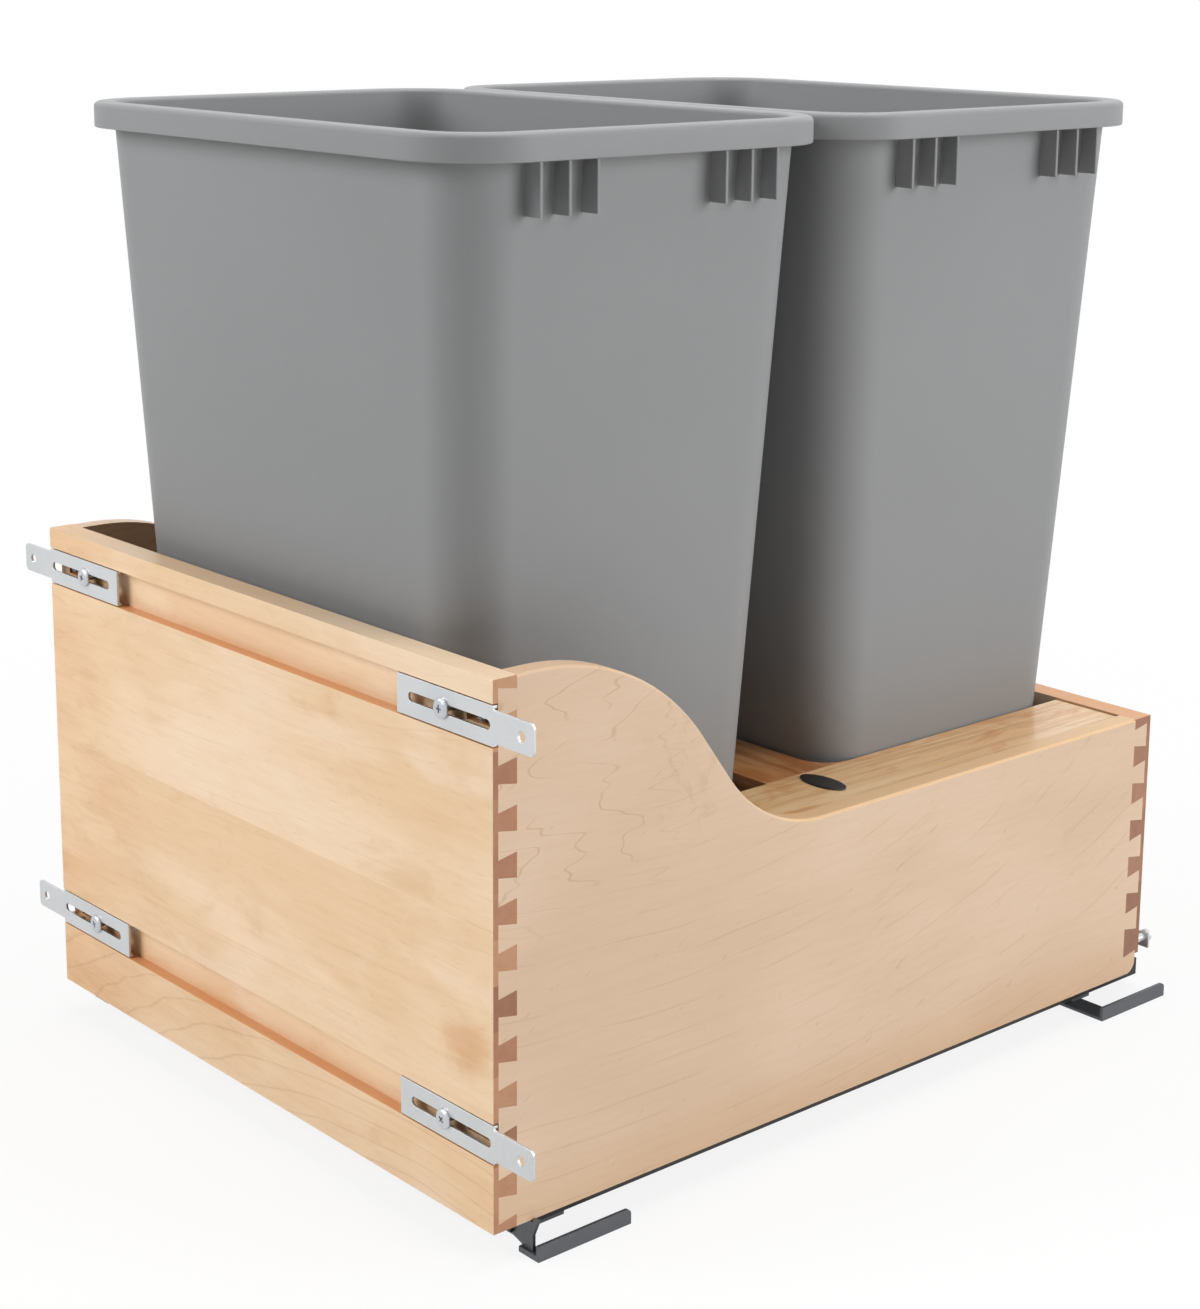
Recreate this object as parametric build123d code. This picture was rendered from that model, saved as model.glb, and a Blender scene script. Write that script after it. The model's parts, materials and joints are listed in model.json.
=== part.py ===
"""Pull-out bin frame: a dovetailed drawer on floor-mounted telescopic slides, with two lift-out bins.

Millimetres. +X is to the right of someone facing the drawer front, -Y is the way the drawer
pulls out and +Z is up. The origin is on the cabinet floor, under the middle of the whole part.
"""
from build123d import *
from math import acos, atan2, cos, hypot, sin
import os

# Drawer box
DRAWER_WIDTH = 447.7
FRONT_HEIGHT = 304.8
SIDE_HEIGHT = 177.8
END_THICKNESS = 15.9
SIDE_THICKNESS = 12.7
BOTTOM_RECESS = 12.7
BOTTOM_THICKNESS = 6.4
DADO_DEPTH = 6.0
REAR_CORNER_RADIUS = 8.0

# Side panel's top edge: an arch from the front's height down to the low rail
SWEEP_START = 30.0
SWEEP_END = 245.0
SHOULDER_RADIUS = 147.0
HOLLOW_RADIUS = 93.0
EDGE_BEVEL = 1.4

# Half-blind dovetails
DOVETAIL_PITCH = 25.4
PIN_BASE_WIDTH = 14.3
PIN_TIP_WIDTH = 9.7
DOVETAIL_LAP = 3.5

# Grooves for the door brackets
GROOVE_SIDE_GAP = 0.8
GROOVE_FLOOR_GAP = 4.6
UPPER_GROOVE_DROP = 24.4
LOWER_GROOVE_RISE = 51.2

# Door brackets, measured outward from the drawer's side
BRACKET_HEIGHT = 21.8
BRACKET_SHEET = 1.6
BRACKET_FLANGE_DEPTH = 3.0
BRACKET_INNER_REACH = 80.8
TAB_REACH = 32.4
TAB_HEIGHT = 17.6
TAB_CORNER_RADIUS = 3.2
TAB_HOLE_RADIUS = 3.0
TAB_HOLE_INSET = 9.8
SLOT_END_INSET = 9.8
SLOT_OUTER_REACH = 2.3
SLOT_SCREW_GAP = 0.3

# Clamp screws and lateral adjusting screws of the door brackets
CLAMP_SCREW_REACH = 42.0
CLAMP_SHANK_RADIUS = 2.4
CLAMP_HEAD_RADIUS = 5.7
CLAMP_HEAD_HEIGHT = 2.2
CLAMP_SHANK_DEPTH = 13.5
CLAMP_SEAT_GAP = 0.15
POCKET_INNER_REACH = 31.0
POCKET_OUTER_REACH = 10.0
POCKET_HEIGHT = 9.0
POCKET_DEPTH = 4.6
ADJUSTER_RADIUS = 2.2
ADJUSTER_HEAD_RADIUS = 3.0
ADJUSTER_HEAD_LENGTH = 3.0
ADJUSTER_END_GAP = 2.0
LUG_LENGTH = 4.0
LUG_SIDE_GAP = 0.5
ADJUSTER_FLOOR_GAP = 0.2

# Deck that the bins drop through
DECK_DROP = 1.0
DECK_THICKNESS = 12.7
DECK_END_GAP = 1.0
OPENING_SIDE_GAP = 1.1
FRONT_BAR_WIDTH = 13.0
FRONT_BAR_GAP = 3.8
CROSS_BAR_FRONT_GAP = 7.7
CROSS_BAR_REAR_GAP = 2.9
OPENING_CORNER_RADIUS = 22.0
CLEAT_WIDTH = 12.7
CLEAT_HEIGHT = 19.0
CLEAT_END_GAP = 12.0
badge_length_share = 0.6775
badge_place_share = 0.405
BADGE_WIDTH = 16.8
BADGE_THICKNESS = 1.0
BADGE_FRONT_INSET = 27.4

# Bins
BIN_HEIGHT = 555.6
BIN_RIM_WIDTH = 387.35
BIN_RIM_DEPTH = 280.6
BIN_RIM_RADIUS = 51.0
BIN_RIM_SKIRT = 12.0
BIN_RIM_CROWN = 3.0
BIN_MOUTH_CHAMFER = 2.4
BIN_RIM_OVERHANG = 13.5
BIN_BASE_WIDTH = 298.0
BIN_DEPTH_DRAFT = 22.8
BIN_CORNER_RADIUS = 34.0
BIN_BASE_CHAMFER = 6.0
BIN_WALL = 2.6
BIN_RIM_WALL = 2.2
BIN_FLOOR = 3.0
BIN_GAP = 0.6
BIN_REAR_GAP = 1.4
RIB_DROP = 29.0
RIB_THICKNESS = 2.0
RIB_PITCH = 19.4
RIB_GROUP_OFFSET = 65.5
RIB_SETBACK = 2.2
RIB_COUNT = 3

# Telescopic slides
RAIL_FLOOR_GAP = 8.1
RAIL_REACH = 16.0
RAIL_WIDTH = 40.0
RAIL_SHEET = 1.5
RAIL_FRONT = 24.5
RAIL_REAR_OVERHANG = 21.0
RAIL_LIP = 12.0
SLIDE_GAP = 3.2
LIP_CLEARANCE = 0.9
MIDDLE_FRONT = 27.0
MIDDLE_REAR_GAP = 13.1
MIDDLE_WEB = 3.0
MIDDLE_SIDE_GAP = 1.2
DRAWER_RAIL_FRONT_GAP = 2.0
DRAWER_RAIL_REAR_GAP = 1.2
ROLLER_RADIUS = 2.9
ROLLER_LENGTH = 26.0
ROLLER_CLEARANCE = 0.15
ROLLER_COUNT = 3
roller_end_share = 0.09
CARRIAGE_LENGTH = 224.0
CARRIAGE_THICKNESS = 4.2
CARRIAGE_SIDE_GAP = 0.6
WINDOW_CLEARANCE = 0.25

# Rear hooks of the drawer rails
HOOK_STANDOFF = 13.5
HOOK_SHEET = 1.5
HOOK_INNER_REACH = 34.0
HOOK_OUTER_REACH = 2.0
HOOK_TOP_MARGIN = 0.75
HOOK_PIN_REACH = 7.0
HOOK_PIN_DADO_GAP = 0.25
HOOK_PIN_RADIUS = 2.75
HOOK_PIN_BITE = 10.0
HOOK_HEAD_RADIUS = 4.2
HOOK_HEAD_HEIGHT = 3.2
HOOK_HOLE_CLEARANCE = 0.05

# Floor feet
FOOT_REACH = 7.7
FOOT_LENGTH = 66.5
FOOT_SHEET = 2.0
FOOT_LIP_HEIGHT = 9.3
FOOT_FLANGE_WIDTH = 12.3
FOOT_LIP_RADIUS = 3.5
FOOT_TOE_HEIGHT = 3.3
FOOT_TOE_REACH = 9.0
FOOT_LEG_OUTER_REACH = 0.5
FOOT_LEG_NECK = 12.5
FOOT_LEG_FLARE_REACH = 5.0
FOOT_LEG_TOP_GAP = 1.4
FOOT_EAR_RISE = 0.7
FOOT_TAB_REACH = 46.0
FOOT_TAB_LENGTH = 16.0
FOOT_TAB_FRONT_LENGTH = 36.0
FOOT_HOLE_RADIUS = 2.25
FOOT_HOLE_REACH = 0.6

# Front locking clips and their release levers
CLIP_FRONT_GAP = 1.0
CLIP_LENGTH = 64.0
CLIP_WIDTH = 44.0
CLIP_PLATE = 3.0
CLIP_WALL = 2.4
CLIP_WALL_HEIGHT = 9.0
LEVER_PIVOT_RADIUS = 2.0
LEVER_PIVOT_CLEARANCE = 0.05
LEVER_PIVOT_INSET = 9.0
LEVER_PIVOT_SIDE = 8.0
LEVER_THICKNESS = 6.0
LEVER_GAP = 0.3
LEVER_ARM_WIDTH = 8.0
LEVER_END_RADIUS = 2.4
LEVER_NOSE_FRONT = 22.0
LEVER_NOSE_LENGTH = 7.0
LEVER_NOSE_BITE = 2.0
LEVER_NOTCH_CLEARANCE = 0.8
LEVER_HANDLE_LENGTH = 22.0
CLIP_SCREW_RADIUS = 1.7
CLIP_SCREW_HEAD_RADIUS = 3.4
CLIP_SCREW_HEAD_HEIGHT = 1.8
CLIP_SCREW_BITE = 5.0
CLIP_SCREW_SIDE_INSET = 13.0
FASTENER_CLEARANCE = 0.05

# Soft-close units
CLOSER_SIDE_GAP = 0.4
CLOSER_HEIGHT = 12.6
CLOSER_LENGTH = 140.0
CLOSER_REAR_GAP = 14.0
CLOSER_WALL = 1.5
CLOSER_SLOT_WIDTH = 5.0
CATCH_LENGTH = 20.0
CATCH_WIDTH = 4.4
CATCH_HORN_LENGTH = 5.0
CATCH_HORN_RISE = 6.0
CATCH_REAR_GAP = 32.0
CATCH_SEAT_GAP = 0.3
STRIKER_RADIUS = 2.4
STRIKER_GAP = 0.4
STRIKER_TAB_LENGTH = 9.0
STRIKER_FLOOR_GAP = 1.2
DAMPER_RADIUS = 3.4
DAMPER_LENGTH = 58.0
DAMPER_ROD_RADIUS = 1.2

CUT_OVERRUN = 5.0

# Places worked out from the sizes above
ROLLER_SPACE = 2 * (ROLLER_RADIUS + ROLLER_CLEARANCE)
RAIL_HEIGHT = 3 * RAIL_SHEET + ROLLER_SPACE + LIP_CLEARANCE
BOTTOM_Z = RAIL_FLOOR_GAP + 2 * RAIL_HEIGHT + SLIDE_GAP
BOX_Z = BOTTOM_Z - BOTTOM_RECESS
BIN_FLOOR_Z = BOTTOM_Z + BOTTOM_THICKNESS
BIN_RIM_HEIGHT = BIN_RIM_SKIRT + BIN_RIM_CROWN
BIN_BODY_HEIGHT = BIN_HEIGHT - BIN_RIM_HEIGHT
BIN_BASE_DEPTH = BIN_RIM_DEPTH - 2 * (BIN_RIM_OVERHANG + BIN_DEPTH_DRAFT)
DECK_TOP_Z = BOX_Z + SIDE_HEIGHT - DECK_DROP
DECK_Z = DECK_TOP_Z - DECK_THICKNESS


def bin_half_size(base, rim, height):
    """Half of the tapered body's outer width or depth at a height above its base."""
    top = rim - 2 * BIN_RIM_OVERHANG
    return (base + (top - base) * height / BIN_BODY_HEIGHT) / 2


DECK_HALF_WIDTH = bin_half_size(BIN_BASE_WIDTH, BIN_RIM_WIDTH, DECK_TOP_Z - BIN_FLOOR_Z)
DECK_HALF_DEPTH = bin_half_size(BIN_BASE_DEPTH, BIN_RIM_DEPTH, DECK_TOP_Z - BIN_FLOOR_Z)
FRONT_BIN_REACH = END_THICKNESS + FRONT_BAR_WIDTH + FRONT_BAR_GAP + DECK_HALF_DEPTH
REAR_BIN_REACH = FRONT_BIN_REACH + BIN_RIM_DEPTH + BIN_GAP
DRAWER_DEPTH = REAR_BIN_REACH + DECK_HALF_DEPTH + BIN_REAR_GAP + END_THICKNESS
RAIL_LENGTH = DRAWER_DEPTH - RAIL_FRONT + RAIL_REAR_OVERHANG
MIDDLE_LENGTH = RAIL_LENGTH - (MIDDLE_FRONT - RAIL_FRONT) - MIDDLE_REAR_GAP
MIDDLE_FLANGE_WIDTH = RAIL_WIDTH - 2 * RAIL_SHEET - 2 * MIDDLE_SIDE_GAP
FOOT_REAR_END = RAIL_FRONT + RAIL_LENGTH
FRONT_Y = -(FOOT_REAR_END - CLAMP_HEAD_HEIGHT - CLAMP_SEAT_GAP) / 2
BACK_Y = FRONT_Y + DRAWER_DEPTH
SIDE_X = DRAWER_WIDTH / 2
SIDE_INNER_X = SIDE_X - SIDE_THICKNESS
FRONT_INNER_Y = FRONT_Y + END_THICKNESS
BACK_INNER_Y = BACK_Y - END_THICKNESS
DECK_REAR_Y = BACK_INNER_Y - DECK_END_GAP
OPENING_HALF_WIDTH = DECK_HALF_WIDTH + OPENING_SIDE_GAP
CROSS_BAR_FRONT_Y = FRONT_Y + FRONT_BIN_REACH + DECK_HALF_DEPTH + CROSS_BAR_FRONT_GAP
CROSS_BAR_REAR_Y = FRONT_Y + REAR_BIN_REACH - DECK_HALF_DEPTH - CROSS_BAR_REAR_GAP
STRIP_WIDTH = SIDE_INNER_X - OPENING_HALF_WIDTH
BADGE_LENGTH = STRIP_WIDTH * badge_length_share
BADGE_X = OPENING_HALF_WIDTH + STRIP_WIDTH * badge_place_share
BADGE_Y = CROSS_BAR_FRONT_Y + BADGE_FRONT_INSET
LOWER_GROOVE_Z = BOX_Z + LOWER_GROOVE_RISE
UPPER_GROOVE_Z = BOX_Z + FRONT_HEIGHT - UPPER_GROOVE_DROP
GROOVE_HEIGHT = BRACKET_HEIGHT + 2 * GROOVE_SIDE_GAP
GROOVE_DEPTH = BRACKET_FLANGE_DEPTH + GROOVE_FLOOR_GAP
SLOT_INNER_REACH = BRACKET_INNER_REACH - SLOT_END_INSET
SLOT_HEIGHT = 2 * (CLAMP_SHANK_RADIUS + SLOT_SCREW_GAP)
LUG_HEIGHT = POCKET_HEIGHT - 2 * LUG_SIDE_GAP
LUG_DEPTH = 2 * (ADJUSTER_HEAD_RADIUS + ADJUSTER_FLOOR_GAP)
RAIL_OUTER_X = SIDE_X - RAIL_REACH
RAIL_INNER_X = RAIL_OUTER_X - RAIL_WIDTH
RAIL_X = (RAIL_OUTER_X + RAIL_INNER_X) / 2
RAIL_Y = FRONT_Y + RAIL_FRONT
RAIL_REAR_Y = RAIL_Y + RAIL_LENGTH
MIDDLE_Z = RAIL_FLOOR_GAP + RAIL_SHEET + ROLLER_SPACE
MIDDLE_TOP_Z = BOTTOM_Z - RAIL_SHEET - ROLLER_SPACE
DRAWER_RAIL_Y = FRONT_INNER_Y + DRAWER_RAIL_FRONT_GAP
DRAWER_RAIL_REAR_Y = BACK_INNER_Y - DRAWER_RAIL_REAR_GAP
CARRIAGE_Y = (RAIL_Y + MIDDLE_LENGTH / 2) - CARRIAGE_LENGTH / 2
DOVETAIL_FLARE = (PIN_BASE_WIDTH - PIN_TIP_WIDTH) / 2
HOOK_PIN_Z = BOTTOM_Z + DOVETAIL_FLARE + HOOK_PIN_RADIUS + HOOK_PIN_DADO_GAP
HOOK_TOP_Z = HOOK_PIN_Z + HOOK_PIN_RADIUS + HOOK_TOP_MARGIN
FOOT_OUTER_X = SIDE_X + FOOT_REACH
CLIP_Y = FRONT_INNER_Y + CLIP_FRONT_GAP
CLIP_Z = BOTTOM_Z - CLIP_PLATE
LEVER_PIVOT_X = RAIL_INNER_X - LEVER_PIVOT_SIDE
LEVER_PIVOT_Y = CLIP_Y + CLIP_LENGTH - LEVER_PIVOT_INSET
LEVER_TOP_Z = CLIP_Z - LEVER_GAP
LEVER_NOSE_Y = CLIP_Y + LEVER_NOSE_FRONT
CLOSER_WIDTH = 2 * (DAMPER_RADIUS + CLOSER_SIDE_GAP + CLOSER_WALL)
CLOSER_X = RAIL_INNER_X - CLOSER_WIDTH / 2
CLOSER_REAR_Y = RAIL_REAR_Y - CLOSER_REAR_GAP
CLOSER_Y = CLOSER_REAR_Y - CLOSER_LENGTH
CLOSER_TOP_Z = RAIL_FLOOR_GAP + CLOSER_HEIGHT
CATCH_Y = CLOSER_REAR_Y - CLOSER_WALL - CATCH_REAR_GAP - CATCH_LENGTH
STRIKER_Y = CATCH_Y + CATCH_LENGTH - CATCH_HORN_LENGTH - STRIKER_GAP - STRIKER_RADIUS


def block(x0, x1, y0, y1, z0, z1):
    """A box between two corners."""
    size = (abs(x1 - x0), abs(y1 - y0), abs(z1 - z0))
    return Pos((x0 + x1) / 2, (y0 + y1) / 2, (z0 + z1) / 2) * Box(*size)


def rod(start, direction, length, radius):
    """A round bar that starts at a point and runs along a direction."""
    plane = Plane(origin=start, z_dir=direction)
    return extrude(plane * Circle(radius), amount=length)


def prism_x(points, x0, x1):
    """A YZ outline carried from x0 to x1."""
    face = make_face(Polyline(*[(x0, y, z) for y, z in points], close=True))
    return extrude(face, amount=x1 - x0, dir=(1, 0, 0))


def prism_y(points, y0, y1):
    """An XZ outline carried from y0 to y1."""
    face = make_face(Polyline(*[(x, y0, z) for x, z in points], close=True))
    return extrude(face, amount=y1 - y0, dir=(0, 1, 0))


def to_left(shape):
    """The left-hand twin of a right-hand piece."""
    return mirror(shape, about=Plane.YZ)


def save(shape, node):
    """Writes one node's STEP file."""
    solids = shape.solids()
    body = solids[0] if len(solids) == 1 else Compound(children=list(solids))
    body.label = node
    export_step(body, f"parts/{node}.step")


def save_pair(shape, node):
    """Writes a right-hand piece and its left-hand twin."""
    save(shape, f"right_{node}")
    save(to_left(shape), f"left_{node}")


# Drawer box

def pin_heights(height):
    """The heights of the dovetail pins' centres on a corner, the two half pins included."""
    count = round(height / DOVETAIL_PITCH)
    return [BOX_Z + height * i / count for i in range(count + 1)]


def tail_outline(base_y, lap_y, low, high, low_cut, high_cut):
    """One tail: narrow at its base, wide at the lap."""
    return [(base_y, low + low_cut), (base_y, high - high_cut),
            (lap_y, high - high_cut + DOVETAIL_FLARE), (lap_y, low + low_cut - DOVETAIL_FLARE)]


def front_tails():
    """The right side panel's tails in the front panel."""
    heights = pin_heights(FRONT_HEIGHT)
    half = PIN_BASE_WIDTH / 2
    lap_y = FRONT_Y + DOVETAIL_LAP
    return [prism_x(tail_outline(FRONT_INNER_Y, lap_y, low, high, half, half), SIDE_INNER_X, SIDE_X)
            for low, high in zip(heights[:-1], heights[1:])]


def rear_tails():
    """The right side panel's tails in the back panel, whose lower edge is above the side's."""
    heights = pin_heights(SIDE_HEIGHT)[1:]
    half = PIN_BASE_WIDTH / 2
    lap_y = BACK_Y - DOVETAIL_LAP
    tails = [prism_x(tail_outline(BACK_INNER_Y, lap_y, low, high, half, half), SIDE_INNER_X, SIDE_X)
             for low, high in zip(heights[:-1], heights[1:])]
    foot = [(BACK_INNER_Y, BOX_Z), (BACK_INNER_Y, BOTTOM_Z), (lap_y, BOTTOM_Z + DOVETAIL_FLARE),
            (lap_y, BOX_Z)]
    heel = prism_x(foot, SIDE_INNER_X, SIDE_X)
    corner = heel.edges().filter_by(Axis.X).sort_by(lambda e: e.center().Y - e.center().Z)[-1]
    return tails + [fillet(corner, REAR_CORNER_RADIUS)]


def sweep_points():
    """The tangent points and mid points of the side's arch, as (y, z)."""
    top_z = BOX_Z + FRONT_HEIGHT
    low_z = BOX_Z + SIDE_HEIGHT
    start = (FRONT_Y + SWEEP_START, top_z)
    end = (FRONT_Y + SWEEP_END, low_z)
    hub_a = (start[0], top_z - SHOULDER_RADIUS)
    hub_b = (end[0], low_z + HOLLOW_RADIUS)
    run, rise = hub_b[0] - hub_a[0], hub_b[1] - hub_a[1]
    reach = min(SHOULDER_RADIUS + HOLLOW_RADIUS, hypot(run, rise))
    turn = atan2(run, rise) - acos(reach / hypot(run, rise))

    def on_shoulder(angle):
        return (hub_a[0] + SHOULDER_RADIUS * sin(angle), hub_a[1] + SHOULDER_RADIUS * cos(angle))

    def on_hollow(angle):
        return (hub_b[0] - HOLLOW_RADIUS * sin(angle), hub_b[1] - HOLLOW_RADIUS * cos(angle))

    shoulder = (start, on_shoulder(turn / 2), on_shoulder(turn))
    hollow = (on_hollow(turn), on_hollow(turn / 2), end)
    return shoulder, hollow


def at_inner_side(point):
    """A (y, z) point on the right side panel's inner face."""
    return (SIDE_INNER_X, point[0], point[1])


def side_blank():
    """The side panel between its two dovetailed ends."""
    shoulder, hollow = sweep_points()
    low_z = BOX_Z + SIDE_HEIGHT
    front_top = at_inner_side((FRONT_INNER_Y, shoulder[0][1]))
    rear_top = at_inner_side((BACK_INNER_Y, low_z))
    rear_low = at_inner_side((BACK_INNER_Y, BOX_Z))
    front_low = at_inner_side((FRONT_INNER_Y, BOX_Z))
    shoulder = [at_inner_side(p) for p in shoulder]
    hollow = [at_inner_side(p) for p in hollow]
    outline = [
        Line(front_low, front_top),
        Line(front_top, shoulder[0]),
        ThreePointArc(*shoulder),
        Line(shoulder[-1], hollow[0]),
        ThreePointArc(*hollow),
        Line(hollow[-1], rear_top),
        Line(rear_top, rear_low),
        Line(rear_low, front_low),
    ]
    blank = extrude(make_face(Curve() + outline), amount=SIDE_THICKNESS, dir=(1, 0, 0))
    outer = blank.faces().sort_by(Axis.X)[-1].edges()
    top = outer.filter_by(lambda edge: edge.center().Z > low_z - EDGE_BEVEL
                          and FRONT_INNER_Y < edge.center().Y < BACK_INNER_Y)
    return chamfer(top, EDGE_BEVEL)


def bottom_panel():
    """The panel that the bins stand on, held in dadoes all round."""
    half = SIDE_INNER_X + DADO_DEPTH
    return block(-half, half, FRONT_INNER_Y - DADO_DEPTH, BACK_INNER_Y + DADO_DEPTH,
                 BOTTOM_Z, BIN_FLOOR_Z)


def groove_cut(center_z):
    """The groove across the front for one pair of door brackets."""
    half = SIDE_X + CUT_OVERRUN
    return block(-half, half, FRONT_Y - CUT_OVERRUN, FRONT_Y + GROOVE_DEPTH,
                 center_z - GROOVE_HEIGHT / 2, center_z + GROOVE_HEIGHT / 2)


def grooves():
    return [groove_cut(LOWER_GROOVE_Z), groove_cut(UPPER_GROOVE_Z)]


def right_side_panel():
    panel = side_blank() + front_tails() + rear_tails()
    return panel - bottom_panel()


def front_panel():
    panel = block(-SIDE_X, SIDE_X, FRONT_Y, FRONT_INNER_Y, BOX_Z, BOX_Z + FRONT_HEIGHT)
    tails = front_tails()
    panel = panel - tails - [to_left(tail) for tail in tails]
    panel = panel - bottom_panel() - grooves()
    for center_z in (LOWER_GROOVE_Z, UPPER_GROOVE_Z):
        for cut in (pocket_cut(center_z), screw_hole(center_z)):
            panel = panel - cut - to_left(cut)
    return panel


def back_panel():
    panel = block(-SIDE_X, SIDE_X, BACK_INNER_Y, BACK_Y, BOTTOM_Z, BOX_Z + SIDE_HEIGHT)
    tails = rear_tails()
    hole = hook_pin(HOOK_HOLE_CLEARANCE)
    panel = panel - tails - [to_left(tail) for tail in tails]
    return panel - bottom_panel() - hole - to_left(hole)


# Deck

def deck_strip():
    """The board along the right side, beside the bins."""
    return block(OPENING_HALF_WIDTH, SIDE_INNER_X, FRONT_INNER_Y, DECK_REAR_Y, DECK_Z, DECK_TOP_Z)


def deck_cross_bar():
    """The board between the bins, with its rear corners cut round to the rear bin's shape."""
    horn_y = CROSS_BAR_REAR_Y + OPENING_CORNER_RADIUS
    bar = block(-OPENING_HALF_WIDTH, OPENING_HALF_WIDTH, CROSS_BAR_FRONT_Y, horn_y, DECK_Z, DECK_TOP_Z)
    opening = block(-OPENING_HALF_WIDTH, OPENING_HALF_WIDTH, CROSS_BAR_REAR_Y, DECK_REAR_Y,
                    DECK_Z, DECK_TOP_Z)
    corners = opening.edges().filter_by(Axis.Z).group_by(Axis.Y)[0]
    return bar - fillet(corners, OPENING_CORNER_RADIUS)


def deck_front_bar():
    """The narrow board behind the front panel."""
    return block(-OPENING_HALF_WIDTH, OPENING_HALF_WIDTH, FRONT_INNER_Y,
                 FRONT_INNER_Y + FRONT_BAR_WIDTH, DECK_Z, DECK_TOP_Z)


def deck_cleat():
    """The batten on the side panel that carries the deck."""
    return block(SIDE_INNER_X - CLEAT_WIDTH, SIDE_INNER_X, FRONT_INNER_Y + CLEAT_END_GAP,
                 BACK_INNER_Y - CLEAT_END_GAP, DECK_Z - CLEAT_HEIGHT, DECK_Z)


def badge_plate():
    """A blank oval plate on the deck's right board."""
    center = Plane(origin=(BADGE_X, BADGE_Y, DECK_TOP_Z))
    return extrude(center * Ellipse(BADGE_LENGTH / 2, BADGE_WIDTH / 2), amount=BADGE_THICKNESS)


# Door brackets

def door_bracket(center_z):
    """A slotted channel in the groove with a drilled tab that stands out past the side."""
    half = BRACKET_HEIGHT / 2
    inner_x = SIDE_X - BRACKET_INNER_REACH
    tab_x = SIDE_X + TAB_REACH
    flange_y = FRONT_Y + BRACKET_FLANGE_DEPTH
    plate_y = FRONT_Y + BRACKET_SHEET
    channel = block(inner_x, SIDE_X, FRONT_Y, flange_y, center_z - half, center_z + half)
    hollow = block(inner_x - CUT_OVERRUN, SIDE_X + CUT_OVERRUN, plate_y, flange_y + CUT_OVERRUN,
                   center_z - half + BRACKET_SHEET, center_z + half - BRACKET_SHEET)
    tab = block(SIDE_X - BRACKET_SHEET, tab_x, FRONT_Y, plate_y,
                center_z - TAB_HEIGHT / 2, center_z + TAB_HEIGHT / 2)
    tips = tab.edges().filter_by(Axis.Y).group_by(Axis.X)[-1]
    hole = rod((tab_x - TAB_HOLE_INSET, FRONT_Y - CUT_OVERRUN, center_z), (0, 1, 0),
               BRACKET_SHEET + 2 * CUT_OVERRUN, TAB_HOLE_RADIUS)
    return (channel - hollow) + fillet(tips, TAB_CORNER_RADIUS) - bracket_slot(center_z) - hole


def bracket_slot(center_z):
    """The long slot that lets the bracket slide past its clamp screw."""
    center_x = SIDE_X - (SLOT_INNER_REACH + SLOT_OUTER_REACH) / 2
    plane = Plane(origin=(center_x, FRONT_Y - CUT_OVERRUN, center_z), x_dir=(1, 0, 0), z_dir=(0, 1, 0))
    outline = plane * SlotOverall(SLOT_INNER_REACH - SLOT_OUTER_REACH, SLOT_HEIGHT)
    return extrude(outline, amount=BRACKET_SHEET + 2 * CUT_OVERRUN)


def screw_hole(center_z):
    """The hole for a clamp screw's shank in the front panel."""
    start = (SIDE_X - CLAMP_SCREW_REACH, FRONT_Y, center_z)
    return rod(start, (0, 1, 0), CLAMP_SHANK_DEPTH, CLAMP_SHANK_RADIUS + FASTENER_CLEARANCE)


def clamp_screw(center_z):
    """A pan head that clamps the bracket and a shank that runs into the front panel."""
    seat = (SIDE_X - CLAMP_SCREW_REACH, FRONT_Y - CLAMP_SEAT_GAP, center_z)
    head = rod(seat, (0, -1, 0), CLAMP_HEAD_HEIGHT, CLAMP_HEAD_RADIUS)
    crown = head.edges().filter_by(GeomType.CIRCLE).sort_by(Axis.Y)[0]
    shank = rod(seat, (0, 1, 0), CLAMP_SHANK_DEPTH, CLAMP_SHANK_RADIUS)
    return chamfer(crown, CLAMP_HEAD_HEIGHT / 2) + shank


def pocket_cut(center_z):
    """The deeper pocket in the groove's floor for the adjusting screw."""
    return block(SIDE_X - POCKET_INNER_REACH, SIDE_X - POCKET_OUTER_REACH, FRONT_Y,
                 FRONT_Y + GROOVE_DEPTH + POCKET_DEPTH,
                 center_z - POCKET_HEIGHT / 2, center_z + POCKET_HEIGHT / 2)


def adjuster_start():
    return SIDE_X - POCKET_INNER_REACH + ADJUSTER_END_GAP


def adjuster_axis_y():
    return FRONT_Y + GROOVE_DEPTH + POCKET_DEPTH - LUG_DEPTH / 2


def adjusting_screw(center_z):
    """The small cross screw seen through the bracket's slot."""
    start_x = adjuster_start()
    end_x = SIDE_X - POCKET_OUTER_REACH - ADJUSTER_END_GAP
    axis_y = adjuster_axis_y()
    body = rod((start_x, axis_y, center_z), (1, 0, 0), end_x - start_x, ADJUSTER_RADIUS)
    head_x = end_x - ADJUSTER_HEAD_LENGTH
    head = rod((head_x, axis_y, center_z), (1, 0, 0), ADJUSTER_HEAD_LENGTH, ADJUSTER_HEAD_RADIUS)
    return body + head


def adjuster_lug(center_z):
    """The saddle on the pocket's floor that carries the adjusting screw."""
    mid_x = (adjuster_start() + SIDE_X - POCKET_OUTER_REACH - ADJUSTER_END_GAP) / 2
    floor_y = FRONT_Y + GROOVE_DEPTH + POCKET_DEPTH
    lug = block(mid_x - LUG_LENGTH / 2, mid_x + LUG_LENGTH / 2, adjuster_axis_y(), floor_y,
                center_z - LUG_HEIGHT / 2, center_z + LUG_HEIGHT / 2)
    bore = rod((mid_x - LUG_LENGTH, adjuster_axis_y(), center_z), (1, 0, 0), 2 * LUG_LENGTH,
               ADJUSTER_RADIUS + FASTENER_CLEARANCE)
    return lug - bore


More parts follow.
